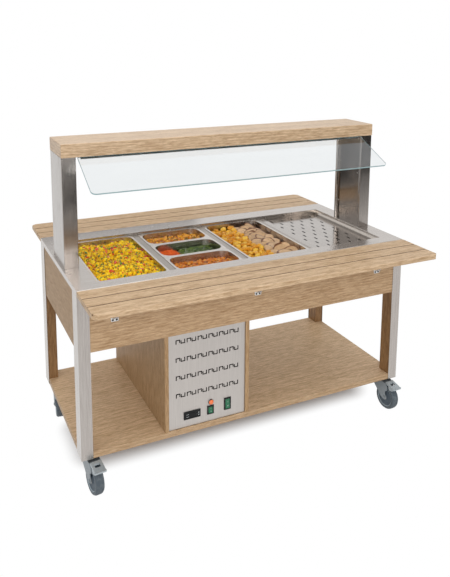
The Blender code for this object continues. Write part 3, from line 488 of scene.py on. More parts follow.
slideGrooves = grooveBoxes("slide_front") + grooveBoxes("slide_rear")
satinBlack = skinFinish("satinBlack", (12, 12, 13), 0.42, 0.03, Specular_IOR_Level=0.3)
finishes = [  # each finish, with the starts of its nodes' names
    (oakFinish("canopyOak", "x", "y", (0.0, 0.0, 0.31), Coat_Weight=0.45, Coat_Roughness=0.32), "canopy"),
    (oakFinish("slideOak", "x", "y", (0.4, 0.0, 0.0), shaded=slideGrooves), "slide_front slide_rear"),
    (oakFinish("apronOak", "x", None, (0.13, 0.0, 0.47), (208, 177, 141), (154, 120, 82)), "apron"),
    # the shelf's tones are paler than the other boards', as painted light under the worktop; its upright edges and its
    # part inside the cabinet carry painted shade
    (oakFinish("shelfOak", "x", None, (-0.3, 0.12, 0.0), (236, 205, 168), (180, 146, 106), cabinetInside(), 0.35),
     "lower_shelf"),
    # the cabinet's tones are darker than the other boards', as painted shade in its bay, and its inside is painted dark
    # as shade
    (oakFinish("cabinetOak", "z", None, (0.2, 0.55, 0.1), (196, 163, 124), (142, 108, 68), cabinetInside()), "cabinet"),
    (makeEndOak(), "end_frame"),
    (steelFinish("topSteel", "x", (200, 194, 189), (174, 167, 161), 0.2, 0.5, recessInside()), "worktop"),
    # the water well is painted dark, as shade under the drip plate
    (steelFinish("wellSteel", "x", (88, 82, 76), (60, 55, 51), 0.5, 0.8), "water_well"),
    (steelFinish("barSteel", "y", (180, 173, 167), (154, 147, 140), 0.3, 0.7), "pan_bars"),
    (steelFinish("panSteel", "x", (206, 200, 194), (180, 173, 166), 0.16, 0.8), "rice_pan roast_pan small_pan"),
    (steelFinish("plateSteel", "y", (184, 178, 173), (162, 156, 151), 0.1, 0.5), "perforated_plate"),
    (steelFinish("postSteel", "z", (173, 167, 162), (145, 138, 132), 0.14, 0.8), "post"),
    (steelFinish("uprightSteel", "z", (194, 188, 183), (168, 161, 155), 0.17, 0.6),
     "leg_angle heating_element slide_arms slide_stay"),
    (steelFinish("panelSteel", "z", (204, 198, 193), (190, 184, 179), 0.42, 0.3), "control_panel"),
    (steelFinish("brassTone", "z", (206, 172, 106), (176, 138, 74), 0.28, 0.6), "drain_valve"),
    (skinFinish("leverRed", (172, 40, 34), 0.3, 0.1, Coat_Weight=0.4), "drain_lever"),
    (satinBlack, "thermostat small_switch_frame large_switch_frame"),
    (skinFinish("switchGreen", (6, 104, 66), 0.2, 0.03, 300.0, 0.03, Coat_Weight=0.3),
     "small_switch_rocker large_switch_rocker"),
    (skinFinish("socketGrey", (52, 54, 58), 0.45, 0.1), "mains_inlet"),
    (skinFinish("railGrey", (120, 132, 134), 0.4, 0.15, Metallic=0.3), "glass_rail"),
    (skinFinish("paleZinc", (222, 222, 220), 0.3, 0.1, Metallic=0.4), "bracket_plates"),
    (skinFinish("forkGrey", None, 0.34, 0.25, 700.0, 0.08, forkTones, Metallic=0.45), "castor_fork"),
    (skinFinish("pedalGrey", (168, 176, 180), 0.36, 0.15, Metallic=0.35), "castor_pedal"),
    (makeLampFinish(), "pilot_lamp"),
    (makeGlassFinish(), "sneeze_glass"),
    *((makeWheelFinish(corner), "castor_wheel_" + corner) for corner in ("fl", "fr", "rl", "rr")),
]
print("finishes made:", len(bpy.data.materials))

for nodeName in sorted(frame["nodes"]):
    smoothCopy(nodeName, next(finish for finish, starts in finishes if nodeName.startswith(tuple(starts.split()))))
print("frame pieces finished:", len(made))


# Geometry Nodes: pieces strewn over a bed, and small parts set at marked points


def newModifierTree(name, inputs):
    tree = bpy.data.node_groups.new(name, "GeometryNodeTree")
    newSockets(tree, "INPUT", [("Geometry", "Geometry"), ("Piece", "Object"), ("Finish", "Material"), *inputs])
    newSockets(tree, "OUTPUT", [("Geometry", "Geometry")])
    return tree, tree.nodes.new("NodeGroupInput").outputs, tree.nodes.new("NodeGroupOutput").inputs


def geo(tree, kind, settings=None, **links):  # a geometry node with its inputs fed by name
    node = tree.nodes.new(kind)
    for key, value in (settings or {}).items():
        setattr(node, key, value)
    for label, value in links.items():
        feed(value, node.inputs[label.replace("_", " ")])
    return node


def chanceNode(tree, given, past, **settings):  # a random value whose seed lies a step past the tree's own
    node = geo(tree, "FunctionNodeRandomValue", settings)
    feed(plus(given["Seed"], past) if past else given["Seed"], node.inputs["Seed"])
    return node


def setDown(tree, given, out, points, turn, size=None, toned=False):  # the piece at each point, made real
    piece = geo(tree, "GeometryNodeObjectInfo", Object=given["Piece"])
    result = geo(tree, "GeometryNodeInstanceOnPoints", Points=points, Instance=piece.outputs["Geometry"],
                 Rotation=turn, Scale=size).outputs[0]
    if toned:  # each piece carries its own share of its food's colours
        tone = chanceNode(tree, given, 19.0).outputs[1]
        result = geo(tree, "GeometryNodeStoreNamedAttribute", {"domain": "INSTANCE", "data_type": "FLOAT"},
                     Geometry=result, Name="tone", Value=tone).outputs[0]
    real = geo(tree, "GeometryNodeRealizeInstances", Geometry=result)
    finish = geo(tree, "GeometryNodeSetMaterial", Geometry=real.outputs[0], Material=given["Finish"])
    feed(finish.outputs[0], out["Geometry"])
    return tree


def makeStrewTree():
    tree, given, out = newModifierTree("strewPieces", [
        ("Per Square Metre", "Float", 1000.0), ("Seed", "Int", 1), ("Smallest", "Float", 0.8),
        ("Largest", "Float", 1.2), ("Lean", "Float", 3.1), ("Lift", "Float", 0.0)])
    normal = geo(tree, "GeometryNodeInputNormal").outputs[0]
    isTop = sums("GREATER_THAN", split(normal)["Z"], 0.35)
    points = geo(tree, "GeometryNodeDistributePointsOnFaces", Mesh=given["Geometry"], Selection=isTop,
                 Density=given["Per Square Metre"], Seed=given["Seed"]).outputs["Points"]
    lean = joined(given["Lean"], given["Lean"], 6.28)
    turn = chanceNode(tree, given, 0, data_type="FLOAT_VECTOR")
    feed(vectors("MULTIPLY", lean, (-1.0, -1.0, 0.0)), turn.inputs[0])
    feed(lean, turn.inputs[1])
    size = chanceNode(tree, given, 7.0)
    feed(given["Smallest"], size.inputs[2])
    feed(given["Largest"], size.inputs[3])
    euler = geo(tree, "FunctionNodeEulerToRotation", Euler=turn.outputs[0]).outputs[0]
    raised = geo(tree, "GeometryNodeSetPosition", Geometry=points, Offset=joined(0.0, 0.0, given["Lift"]))
    return setDown(tree, given, out, raised.outputs[0], euler, size.outputs[1], toned=True)


def makeSetTree():  # one piece at each marked point, its top turned to the point's own direction
    tree, given, out = newModifierTree("setPieces", [])
    ways = geo(tree, "GeometryNodeInputNamedAttribute", {"data_type": "FLOAT_VECTOR"}, Name="facing")
    aim = geo(tree, "FunctionNodeAlignRotationToVector", {"axis": "Z"}, Vector=ways.outputs[0])
    return setDown(tree, given, out, given["Geometry"], aim.outputs[0])


strewTree, setTree = makeStrewTree(), makeSetTree()


def grown(name, base, tree, values, body, angle=60.0):  # runs a tree on a base mesh and keeps the plain result
    holder = linked(name + "Base", base)
    modifier = holder.modifiers.new("grow", "NODES")
    modifier.node_group = tree
    for item in tree.interface.items_tree:
        if item.item_type == "SOCKET" and item.in_out == "INPUT" and item.name in values:
            modifier[item.identifier] = values[item.name]
    bpy.context.view_layer.update()
    mesh = bpy.data.meshes.new_from_object(holder.evaluated_get(bpy.context.evaluated_depsgraph_get()))
    mesh.name = name
    holder.modifiers.remove(modifier)
    bpy.data.objects.remove(holder)
    return placed(name, mesh, body, angle)


def loosePiece(name, shape):  # a pattern for a tree to repeat, kept out of the scene
    mesh = meshOf(name, shape)
    mesh.shade_smooth()
    return bpy.data.objects.new(name, mesh)


def spokes(count):  # even angles of a whole turn
    return [k * 2 * math.pi / count for k in range(count)]


def lathe(profile, around=12):  # a turned shape about Z from (radius, height) pairs, closed at both ends
    shape = bmesh.new()
    rows = []
    for radius, height in profile:
        angles = spokes(around) if radius > 1e-6 else [0.0]
        rows.append([shape.verts.new((radius * math.cos(a), radius * math.sin(a), height)) for a in angles])
    for low, high in zip(rows, rows[1:]):
        for k in range(around):
            ring = [low[k % len(low)], low[(k + 1) % len(low)], high[(k + 1) % len(high)], high[k % len(high)]]
            corners = list(dict.fromkeys(ring))
            if len(corners) > 2:
                shape.faces.new(corners)
    for row in (rows[0], rows[-1]):
        if len(row) > 2:
            shape.faces.new(row)
    return shape


def lump(radius, squash, uneven, seed, finer=2):  # an uneven rounded lump
    shape = bmesh.new()
    bmesh.ops.create_icosphere(shape, subdivisions=finer, radius=1.0)
    offset = Vector((seed * 3.7, seed * 1.3, seed * 7.1))
    for point in shape.verts:
        swell = 1.0 + uneven * noise.noise(point.co * 1.3 + offset)
        swell += uneven * 0.4 * noise.noise(point.co * 3.1 + offset)
        point.co = Vector(a * b * swell * radius for a, b in zip(point.co, squash))
    return shape


def dice(size, softness, seed):  # a cut cube with softened edges
    shape = bmesh.new()
    bmesh.ops.create_cube(shape, size=size)
    for point in shape.verts:
        point.co += Vector([noise.noise(point.co * 200 + Vector((seed, k, 0.5))) for k in range(3)]) * size * 0.22
    bmesh.ops.bevel(shape, geom=shape.edges[:], offset=size * softness, segments=1, affect="EDGES")
    return shape


# cooked food in the pans


def foodFinish(name, tones, rough, grit, strength, **plain):  # tones run from the "tone" of each piece
    material, tree, sockets, place = newFinish(name, **plain)
    mark = put(tree, "Attribute", attribute_name="tone", attribute_type="GEOMETRY")
    ramp = put(tree, "ValToRGB")
    while len(ramp.color_ramp.elements) < len(tones):
        ramp.color_ramp.elements.new(0.5)
    for k, (item, tone) in enumerate(zip(ramp.color_ramp.elements, tones)):
        item.position = k / (len(tones) - 1)
        item.color = screenTone(*tone)
    feed(mark.outputs["Fac"], ramp.inputs[0])
    speckle = cloudy(place, grit, 4.0, 0.65)
    darker = between(0.55, ramp.outputs[0], (92, 48, 16))
    tone = between(spread(speckle, 0.52, 0.8), ramp.outputs[0], darker)
    dress(sockets, tone, spread(speckle, 0.2, 0.8, rough - 0.08, rough + 0.12), speckle, strength, 0.0012)
    return material


def bedOutline(left, right, front, back, corner, around):  # a round-cornered outline with evenly spaced points
    outline = []
    for cornerX, cornerY, start in ((right, back, 0), (left, back, 1), (left, front, 2), (right, front, 3)):
        sideX, sideY = (-1 if cornerX == right else 1), (-1 if cornerY == back else 1)
        middle = Vector((cornerX + sideX * corner, cornerY + sideY * corner))
        for k in range(around // 4):
            angle = (start + k / (around // 4 - 1)) * math.pi / 2
            outline.append(middle + Vector((math.cos(angle), math.sin(angle))) * corner)
    even = []
    lengths = [0.0]
    for a, b in zip(outline, outline[1:] + outline[:1]):
        lengths.append(lengths[-1] + (b - a).length)
    for k in range(around):
        goal = lengths[-1] * k / around
        i = max(j for j in range(len(outline)) if lengths[j] <= goal)
        share = (goal - lengths[i]) / max(1e-9, lengths[i + 1] - lengths[i])
        even.append(outline[i].lerp(outline[(i + 1) % len(outline)], share))
    return even


def foodBed(name, panNode, depth, inset, corner, heap, seed, part=(0.0, 1.0), rings=22, around=88, thick=0.03,
            clumps=0.0):  # a heaped bed that fills the pan, or a share of its width
    low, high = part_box(panNode)
    left, right = low.x + inset, high.x - inset
    left, right = left + (right - left) * part[0], left + (right - left) * part[1]
    front, back = low.y + inset, high.y - inset
    top = high.z - depth
    centre = Vector(((left + right) / 2, (front + back) / 2))
    outline = bedOutline(left, right, front, back, corner, around)
    shape = bmesh.new()

    def surface(spot, share):
        rough = noise.fractal(Vector((spot.x * 22, spot.y * 22, seed)), 1.0, 2.0, 3) * heap * 0.9
        rough += clumps * noise.noise(Vector((spot.x * 75, spot.y * 75, seed + 2)))
        return top + heap * (1 - share ** 3) + rough * (1 - share ** 6 * 0.7)

    rows = []
    for ring in range(rings):
        share = (ring + 1) / rings
        spots = [centre + (spot - centre) * share for spot in outline]
        rows.append([shape.verts.new((*spot, surface(spot, share))) for spot in spots])
    pole = shape.verts.new((centre.x, centre.y, surface(centre, 0.0)))
    skirt = [shape.verts.new((*(centre + (spot - centre) * 0.97), top - thick)) for spot in outline]
    under = shape.verts.new((centre.x, centre.y, top - thick))
    for k, n in following(around):
        shape.faces.new((pole, rows[0][k], rows[0][n]))
        for near, far in zip(rows, rows[1:]):
            shape.faces.new((near[k], far[k], far[n], near[n]))
        shape.faces.new((rows[-1][k], skirt[k], skirt[n], rows[-1][n]))
        shape.faces.new((skirt[k], under, skirt[n]))
    return meshOf(name, shape)


def keepFood(name, mesh, finish, panNode, angle=70.0):
    finished(name, mesh, finish, bodyOf[panNode], angle)


def ladle(mesh, finish, panNode):  # keeps a bed as a piece of its own
    tone = mesh.attributes.new("tone", "FLOAT", "POINT")
    tone.data.foreach_set("value", [0.5 + 0.5 * noise.noise(point.co * 60) for point in mesh.vertices])
    keepFood(mesh.name, mesh, finish, panNode, 80.0)


def strew(name, mesh, shape, finish, panNode, number, seed, smallest=0.8, largest=1.2, lean=3.1, lift=0.0, angle=60.0):
    piece = loosePiece(name + "One", shape)
    grown(name, mesh.copy(), strewTree, {
        "Piece": piece, "Per Square Metre": float(number), "Seed": seed, "Smallest": smallest, "Largest": largest,
        "Lean": lean, "Lift": lift, "Finish": finish}, bodyOf[panNode], angle)


rice = {
    "below": 0.024, "heap": 0.014, "clumps": 0.0062,
    "tones": [(198, 134, 2), (237, 180, 5), (252, 207, 15), (254, 230, 76)],
    "grains": 32000, "grain": (0.0023, 0.0048),
    # the bed under the grains is painted dark, as shade in the gaps between them
    "bed": [(96, 58, 6), (150, 100, 10)],
    "lumps": 1500, "lump": 0.0085, "egg": [(240, 184, 2), (254, 210, 12), (255, 226, 50)],
    "peas": 1500, "pea": 0.0052, "green": [(52, 84, 8), (88, 124, 12), (124, 154, 28)],
    "peppers": 620, "pepper": 0.0105, "red": [(166, 20, 6), (220, 40, 12), (236, 76, 20)],
    "carrots": 900, "carrot": 0.0085, "orange": [(214, 96, 12), (236, 124, 26), (242, 150, 50)],
}


def makeRice():
    pan = "rice_pan"
    riceYellow = foodFinish("riceYellow", rice["tones"], 0.5, 500.0, 0.1, Specular_IOR_Level=0.3)
    peaGreen = foodFinish("peaGreen", rice["green"], 0.3, 300.0, 0.1, Coat_Weight=0.3)
    pepperRed = foodFinish("pepperRed", rice["red"], 0.28, 300.0, 0.1, Coat_Weight=0.35)
    carrotOrange = foodFinish("carrotOrange", rice["orange"], 0.32, 300.0, 0.1, Coat_Weight=0.3)
    eggYellow = foodFinish("eggYellow", rice["egg"], 0.5, 200.0, 0.3, Specular_IOR_Level=0.3)
    bed = foodBed("riceHeap", pan, rice["below"], 0.0125, 0.038, rice["heap"], 4.0, rings=30, around=120,
                  clumps=rice["clumps"])
    radius, half = rice["grain"]
    grain = lathe([(0.0, -half), (radius, -half * 0.45), (radius, half * 0.45), (0.0, half)], 5)
    egg = lump(rice["lump"], (1.1, 0.9, 0.7), 0.4, 4)
    pea = lump(rice["pea"], (1, 1, 0.94), 0.06, 2)
    strew("riceGrains", bed, grain, riceYellow, pan, rice["grains"], 11, 0.8, 1.25, 0.9, 0.0006)
    strew("riceEgg", bed, egg, eggYellow, pan, rice["lumps"], 5, 0.6, 1.3, lift=0.0012)
    strew("ricePeas", bed, pea, peaGreen, pan, rice["peas"], 23, 0.8, 1.1, lift=0.0012)
    strew("ricePeppers", bed, dice(rice["pepper"], 0.16, 3.0), pepperRed, pan, rice["peppers"], 31, 0.55, 1.25,
          lift=0.0008, angle=30.0)
    strew("riceCarrots", bed, dice(rice["carrot"], 0.12, 8.0), carrotOrange, pan, rice["carrots"], 47, 0.6, 1.2,
          lift=0.0008, angle=30.0)
    ladle(bed, foodFinish("riceBed", rice["bed"], 0.5, 260.0, 0.5), pan)


roast = {
    "below": 0.022, "potatoShare": 0.44, "potatoLayers": (78, 64), "potato": 0.0165,
    "gold": [(206, 132, 18), (236, 172, 44), (244, 198, 74), (218, 146, 32)],
    "sliceRows": 3, "slicesPerRow": 8, "slice": (0.043, 0.033, 0.0048), "slope": 26.0,
    "jusDepth": 0.044, "jus": [(120, 66, 24), (142, 84, 34)],
}


def meatSlice(radiusX, radiusY, thick, seed):  # a slice with an uneven rim, closed, with a slightly cupped face
    shape = bmesh.new()
    around, rings = 22, 4
    rims = []
    for side in (1, -1):
        rows = []
        for ring in range(rings):
            share = (ring + 1) / rings
            row = []
            for angle in spokes(around):
                u, v = math.cos(angle), math.sin(angle)
                wobble = 1 + 0.26 * noise.noise(Vector((u * 1.4, v * 1.4, seed))) \
                    + 0.08 * noise.noise(Vector((u * 5, v * 5, seed)))
                x, y = radiusX * share * wobble * u, radiusY * share * wobble * v
                cup = 0.0035 * (x / radiusX) ** 2 - 0.0025 * (y / radiusY) ** 2
                grainy = 0.0006 * noise.noise(Vector((x * 150, y * 150, seed)))
                rim = thick * (1.0 if share < 0.9 else 0.55)
                row.append(shape.verts.new((x, y, cup + side * rim / 2 + grainy)))
            rows.append(row)
        pole = shape.verts.new((0, 0, side * thick / 2))
        rims.append(rows[-1])
        for k, n in following(around):
            shape.faces.new((pole, rows[0][k], rows[0][n]))
            for near, far in zip(rows, rows[1:]):
                shape.faces.new((near[k], far[k], far[n], near[n]))
    wall(shape, *rims)
    bmesh.ops.recalc_face_normals(shape, faces=shape.faces[:])
    return shape


def meatFinish():
    material, tree, sockets, place = newFinish("roastMeat", Coat_Weight=0.05)
    rim, mark = (put(tree, "Attribute", attribute_name=name, attribute_type="GEOMETRY").outputs["Fac"]
                 for name in ("rim", "tone"))
    strands = stretched(place, (60.0, 190.0, 190.0), 5.0, 0.65, 0.8)
    pink = between(mark, (232, 194, 150), (206, 168, 124))
    fleshy = between(spread(strands, 0.4, 0.75), pink, (178, 138, 98))
    tone = between(spread(rim, 0.8, 0.98), fleshy, (112, 66, 32))
    dress(sockets, tone, spread(strands, 0.2, 0.8, 0.3, 0.5), strands, 0.35, 0.001)
    return material


def newWhole(*layers):  # a shape that gathers many, with a number for each point in each layer
    whole = bmesh.new()
    for layer in layers:
        whole.verts.layers.float.new(layer)
    return whole


def join(whole, one, place, tone, rimOf=None):  # adds a shape to a larger one, in its place
    rims = [rimOf(point.co) for point in one.verts] if rimOf else []
    one.transform(place)
    start = len(whole.verts)
    mesh = meshOf("part", one, outward=False)
    whole.from_mesh(mesh)
    whole.verts.ensure_lookup_table()
    tones, rimShares = (whole.verts.layers.float.get(name) for name in ("tone", "rim"))
    for k in range(start, len(whole.verts)):
        whole.verts[k][tones] = tone
        if rims:
            whole.verts[k][rimShares] = rims[k - start]
    bpy.data.meshes.remove(mesh)


def heapPotatoes(low, high, chance):
    whole = newWhole("tone")
    left, right = low.x + 0.026, low.x + 0.016 + (high.x - low.x) * roast["potatoShare"]
    front, back = low.y + 0.032, high.y - 0.032
    spots = []
    for layer, total in enumerate(roast["potatoLayers"]):
        closest = 0.66 if layer else 0.7
        settled = 0
        for _ in range(6000):
            if settled == total:
                break
            x, y = chance.uniform(left, right), chance.uniform(front, back)
            size = roast["potato"] * chance.uniform(0.78, 1.2)
            z = high.z - roast["below"] - 0.012 + layer * 0.0125 + chance.uniform(-0.002, 0.002)
            spot = Vector((x, y, z))
            if any((spot - other).length < (size + reach) * closest for other, reach in spots):
                continue
            spots.append((spot, size))
            settled += 1
            squash = (chance.uniform(0.85, 1.25), chance.uniform(0.7, 0.95), chance.uniform(0.6, 0.8))
            one = lump(size, squash, 0.34, chance.uniform(0, 50), 3)
            spin = Matrix.Rotation(chance.uniform(0, 6.28), 4, "Z") @ Matrix.Rotation(chance.uniform(-0.5, 0.5), 4, "X")
            join(whole, one, Matrix.Translation(spot) @ spin, chance.random())
    return whole


def layMeat(low, high, chance):
    meat = newWhole("tone", "rim")
    startX, endX = low.x + (high.x - low.x) * (roast["potatoShare"] + 0.07), high.x - 0.042
    radiusX, radiusY, thick = roast["slice"]
    rows, perRow = roast["sliceRows"], roast["slicesPerRow"]
    for row in range(rows):
        x = startX + (endX - startX) * (row + 0.5) / rows + 0.004
        for k in range(perRow):
            y = high.y - 0.062 - (high.y - low.y - 0.135) * (k + 0.4 * (row % 2)) / (perRow - 0.6)
            z = high.z - roast["below"] - 0.006 + chance.uniform(-0.002, 0.002) + 0.003 * (row % 2)
            one = meatSlice(radiusX * chance.uniform(0.8, 1.12), radiusY * chance.uniform(0.85, 1.15), thick,
                            chance.uniform(0, 90))
            lean = Matrix.Rotation(math.radians(roast["slope"] + chance.uniform(-11, 11)), 4, "X")
            sway = Matrix.Rotation(math.radians(chance.uniform(-16, 16)), 4, "Y")
            spin = Matrix.Rotation(chance.uniform(-1.2, 1.2), 4, "Z")
            place = Matrix.Translation((x + chance.uniform(-0.004, 0.004), y, z)) @ lean @ (sway @ spin)
            join(meat, one, place, chance.random(), lambda spot: math.hypot(spot.x / radiusX, spot.y / radiusY))
    return meat


def makeRoast():
    pan = "roast_pan"
    low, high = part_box(pan)
    chance = random.Random(5)
    potatoGold = foodFinish("potatoGold", roast["gold"], 0.4, 120.0, 0.3, Coat_Weight=0.06, Specular_IOR_Level=0.3)
    bed = foodBed("roastJuice", pan, roast["jusDepth"], 0.0165, 0.03, 0.001, 9.0, thick=0.02)
    ladle(bed, foodFinish("meatJuice", roast["jus"], 0.14, 90.0, 0.15, Coat_Weight=0.5), pan)
    keepFood("roastPotatoes", meshOf("roastPotatoes", heapPotatoes(low, high, chance)), potatoGold, pan)
    keepFood("meatSlices", meshOf("meatSlices", layMeat(low, high, chance)), meatFinish(), pan)


stews = {
    "small_pan_back": {
        "below": 0.030, "chunk": 0.0095, "number": 5200, "seed": 3, "sauce": [(140, 78, 8), (176, 108, 18)],
        "chunks": [(224, 146, 26), (238, 176, 50), (206, 112, 16), (130, 112, 22)]},
    "small_pan_front": {
        "below": 0.034, "chunk": 0.0095, "number": 4600, "seed": 8, "sauce": [(126, 62, 6), (160, 88, 14)],
        "chunks": [(214, 118, 20), (226, 144, 40), (184, 86, 12), (232, 172, 78)]},
}


def makeStew(pan, below, chunk, number, seed, sauce, chunks):
    sauceTone = foodFinish(pan + "_sauce", sauce, 0.2, 160.0, 0.5, Coat_Weight=0.15, Specular_IOR_Level=0.3)
    chunkTone = foodFinish(pan + "_chunks", chunks, 0.3, 200.0, 0.25, Coat_Weight=0.08, Specular_IOR_Level=0.3)
    bed = foodBed(pan + "_sauceBed", pan, below, 0.0142, 0.04, 0.006, seed, rings=14, around=64)
    strew(pan + "_dice", bed, dice(chunk * 1.25, 0.2, seed), chunkTone, pan, number, seed, 0.6, 1.15, angle=30.0)
    soft = lump(chunk, (1.1, 0.85, 0.7), 0.35, seed)
    strew(pan + "_lumps", bed, soft, chunkTone, pan, number * 0.6, seed + 3, 0.6, 1.1)
    ladle(bed, sauceTone, pan)


greens = {
    "below": 0.032, "carrotShare": 0.36,
    "shreds": 60000, "shred": (0.0011, 0.011), "orange": [(230, 82, 12), (244, 108, 26), (250, 136, 50)],
    "beans": 130, "bean": (0.0039, 0.042), "green": [(44, 70, 18), (72, 98, 28), (98, 120, 40)],
}


def bentRod(radius, half, bend, around, steps):  # a rod curved along its length, rounded at its ends
    shape = bmesh.new()
    rows = []
    for step in range(steps + 1):
        share = step / steps * 2 - 1
        thin = max(0.18, 1 - abs(share) ** 5)
        middle = Vector((share * half, bend * share * share, 0))
        rows.append([shape.verts.new(middle + Vector((0, math.cos(a), math.sin(a))) * radius * thin)
                     for a in spokes(around)])
    for near, far in zip(rows, rows[1:]):
        for k, n in following(around):
            shape.faces.new((near[k], near[n], far[n], far[k]))
    shape.faces.new(rows[0])
    shape.faces.new(list(reversed(rows[-1])))
    bmesh.ops.recalc_face_normals(shape, faces=shape.faces[:])
    return shape


def makeGreens():
    pan = "small_pan_middle"
    low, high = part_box(pan)
    below, share = greens["below"], greens["carrotShare"]
    carrotTone = foodFinish("gratedCarrot", greens["orange"], 0.4, 260.0, 0.15,
                            Coat_Weight=0.06, Specular_IOR_Level=0.3)
    beanTone = foodFinish("greenBean", greens["green"], 0.34, 160.0, 0.2, Coat_Weight=0.12, Specular_IOR_Level=0.35)
    carrotBed = foodBed("carrotBed", pan, below + 0.002, 0.0142, 0.04, 0.010, 5.0, (0.0, share), 12, 56)
    shred = bentRod(*greens["shred"], 0.0018, 4, 4)
    strew("carrotShreds", carrotBed, shred, carrotTone, pan, greens["shreds"], 17, 0.6, 1.15, 0.5, 0.0008, 50.0)
    ladle(carrotBed, carrotTone, pan)
    ladle(foodBed("beanBed", pan, below + 0.006, 0.0142, 0.04, 0.003, 6.0, (share, 1.0), 10, 56), beanTone, pan)
    chance = random.Random(12)
    whole = newWhole("tone")
    radius, half = greens["bean"]
    left = low.x + 0.017 + (high.x - low.x - 0.032) * share
    for _ in range(greens["beans"]):
        length = half * chance.uniform(0.6, 1.0)
        turn = chance.gauss(0.15, 0.55)
        reachX, reachY = abs(math.cos(turn)) * length, abs(math.sin(turn)) * length
        x = chance.uniform(left + reachX * 0.75, high.x - 0.020 - reachX)
        y = chance.uniform(low.y + 0.020 + reachY, high.y - 0.020 - reachY)
        z = high.z - below - 0.004 + chance.uniform(0, 0.011)
        one = bentRod(radius * chance.uniform(0.85, 1.1), length, chance.uniform(-0.012, 0.012), 8, 8)
        spin = Matrix.Rotation(turn, 4, "Z") @ Matrix.Rotation(chance.uniform(-0.12, 0.12), 4, "Y")
        join(whole, one, Matrix.Translation((x, y, z)) @ spin, chance.random())
    keepFood("greenBeans", meshOf("greenBeans", whole), beanTone, pan, 50.0)


makeRice()
makeRoast()
for panNode, stew in stews.items():
    makeStew(panNode, **stew)
makeGreens()
print("food dished up:", sum(len(piece.data.polygons) for piece in made.values()), "faces so far")


# small fittings: screws, printed marks, glass clamps, the glass's cut edge, and painted shade round the slots

whitePrint = skinFinish("whitePrint", (196, 200, 200), 0.4, 0.04)
displayGlass = skinFinish("displayGlass", (7, 7, 8), 0.3, 0.03, 200.0, 0.02, Specular_IOR_Level=0.3)
clampGrey = skinFinish("clampGrey", (66, 84, 88), 0.5, 0.1)
slotShade = skinFinish("slotShade", (58, 54, 50), 0.4, 0.15, Metallic=0.5)
edgeTint = skinFinish("edgeTint", (150, 178, 182), 0.35, 0.2, Specular_IOR_Level=0.3)
screwSteel = steelFinish("screwSteel", "x", (190, 186, 182), (150, 146, 142), 0.25, 0.3)

postScrews = {
    "radius": 0.0042, "high": 0.0016, "coverBack": 0.0125,
    "spots": [(-0.0712, 1.3186), (-0.0712, 1.1437), (0.0858, 0.9656), (0.0858, 1.1808)],
}
plateScrews = {
    "radius": 0.004, "high": 0.0012, "stand": 0.0039,
    "at": (-0.64, 0.0, 0.64), "step": 0.008, "height": 0.7278,
}
clamps = {"number": 7, "from": -0.542, "every": 0.168, "half": 0.007}
slotRims = {"wide": 0.0012, "thick": 0.0002, "longest": 0.05}


def screwHead(name, radius, high):  # a low domed head with a small dimple
    shares = ((1.0, 0.0), (1.0, 0.35), (0.82, 0.8), (0.45, 1.0), (0.0, 0.96))
    return loosePiece(name, lathe([(radius * across, high * up) for across, up in shares], 16))


def setAt(name, spots, piece, finish):  # one piece per spot, each turned the way its spot faces
    mesh = bpy.data.meshes.new(name + "Spots")
    mesh.from_pydata([spot for spot, way in spots], [], [])
    ways = mesh.attributes.new("facing", "FLOAT_VECTOR", "POINT")
    ways.data.foreach_set("vector", [value for spot, way in spots for value in way])
    grown(name, mesh, setTree, {"Piece": piece, "Finish": finish}, "frame", 40.0)


def makeScrews():
    spots = []
    for side, end, way in (("left", 1, 1.0), ("right", 0, -1.0)):  # on the posts' inner covers
        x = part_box(f"post_{side}")[end].x - way * postScrews["coverBack"]
        spots += [((x + way * 0.0003, y, z), (way, 0.0, 0.0)) for y, z in postScrews["spots"]]
    head = screwHead("screwHead", postScrews["radius"], postScrews["high"])
    setAt("postScrews", spots, head, screwSteel)
    spots = []
    for side, end, way in (("front", 0, -1.0), ("rear", 1, 1.0)):  # on the slides' bracket plates
        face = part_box(f"apron_{side}")[end].y + way * plateScrews["stand"]
        spots += [((x + step * plateScrews["step"], face, plateScrews["height"]), (0.0, way, 0.0))
                  for x in plateScrews["at"] for step in (-1, 1)]
    small = screwHead("plateScrew", plateScrews["radius"], plateScrews["high"])
    setAt("plateScrews", spots, small, satinBlack)


def keepMarks(name, shape, finish, body):
    finished(name, meshOf(name, shape), finish, body, 30.0)


def flatMark(shape, outline, face, thick=0.00025):  # a thin raised print: an outline in x and z, proud of a face at y
    front = [shape.verts.new((x, face - thick, z)) for x, z in outline]
    back = [shape.verts.new((x, face + 0.0001, z)) for x, z in outline]
    shape.faces.new(front)
    shape.faces.new(list(reversed(back)))
    wall(shape, front, back)


def bar(x, z, wide, high):
    left, right, foot, top = x - wide / 2, x + wide / 2, z - high / 2, z + high / 2
    return [(left, foot), (right, foot), (right, top), (left, top)]


def wallRound(shape, rings):  # closes a row of rings into a tube that meets itself
    for near, far in zip(rings, rings[1:] + rings[:1]):
        wall(shape, near, far)


def ringMark(shape, x, z, radius, wide, face):
    rings = []
    for size, depth in ((radius, -0.0003), (radius - wide, -0.0003), (radius - wide, 0.0001), (radius, 0.0001)):
        rings.append([shape.verts.new((x + size * math.cos(a), face + depth, z + size * math.sin(a)))
                      for a in spokes(16)])
    wallRound(shape, rings)


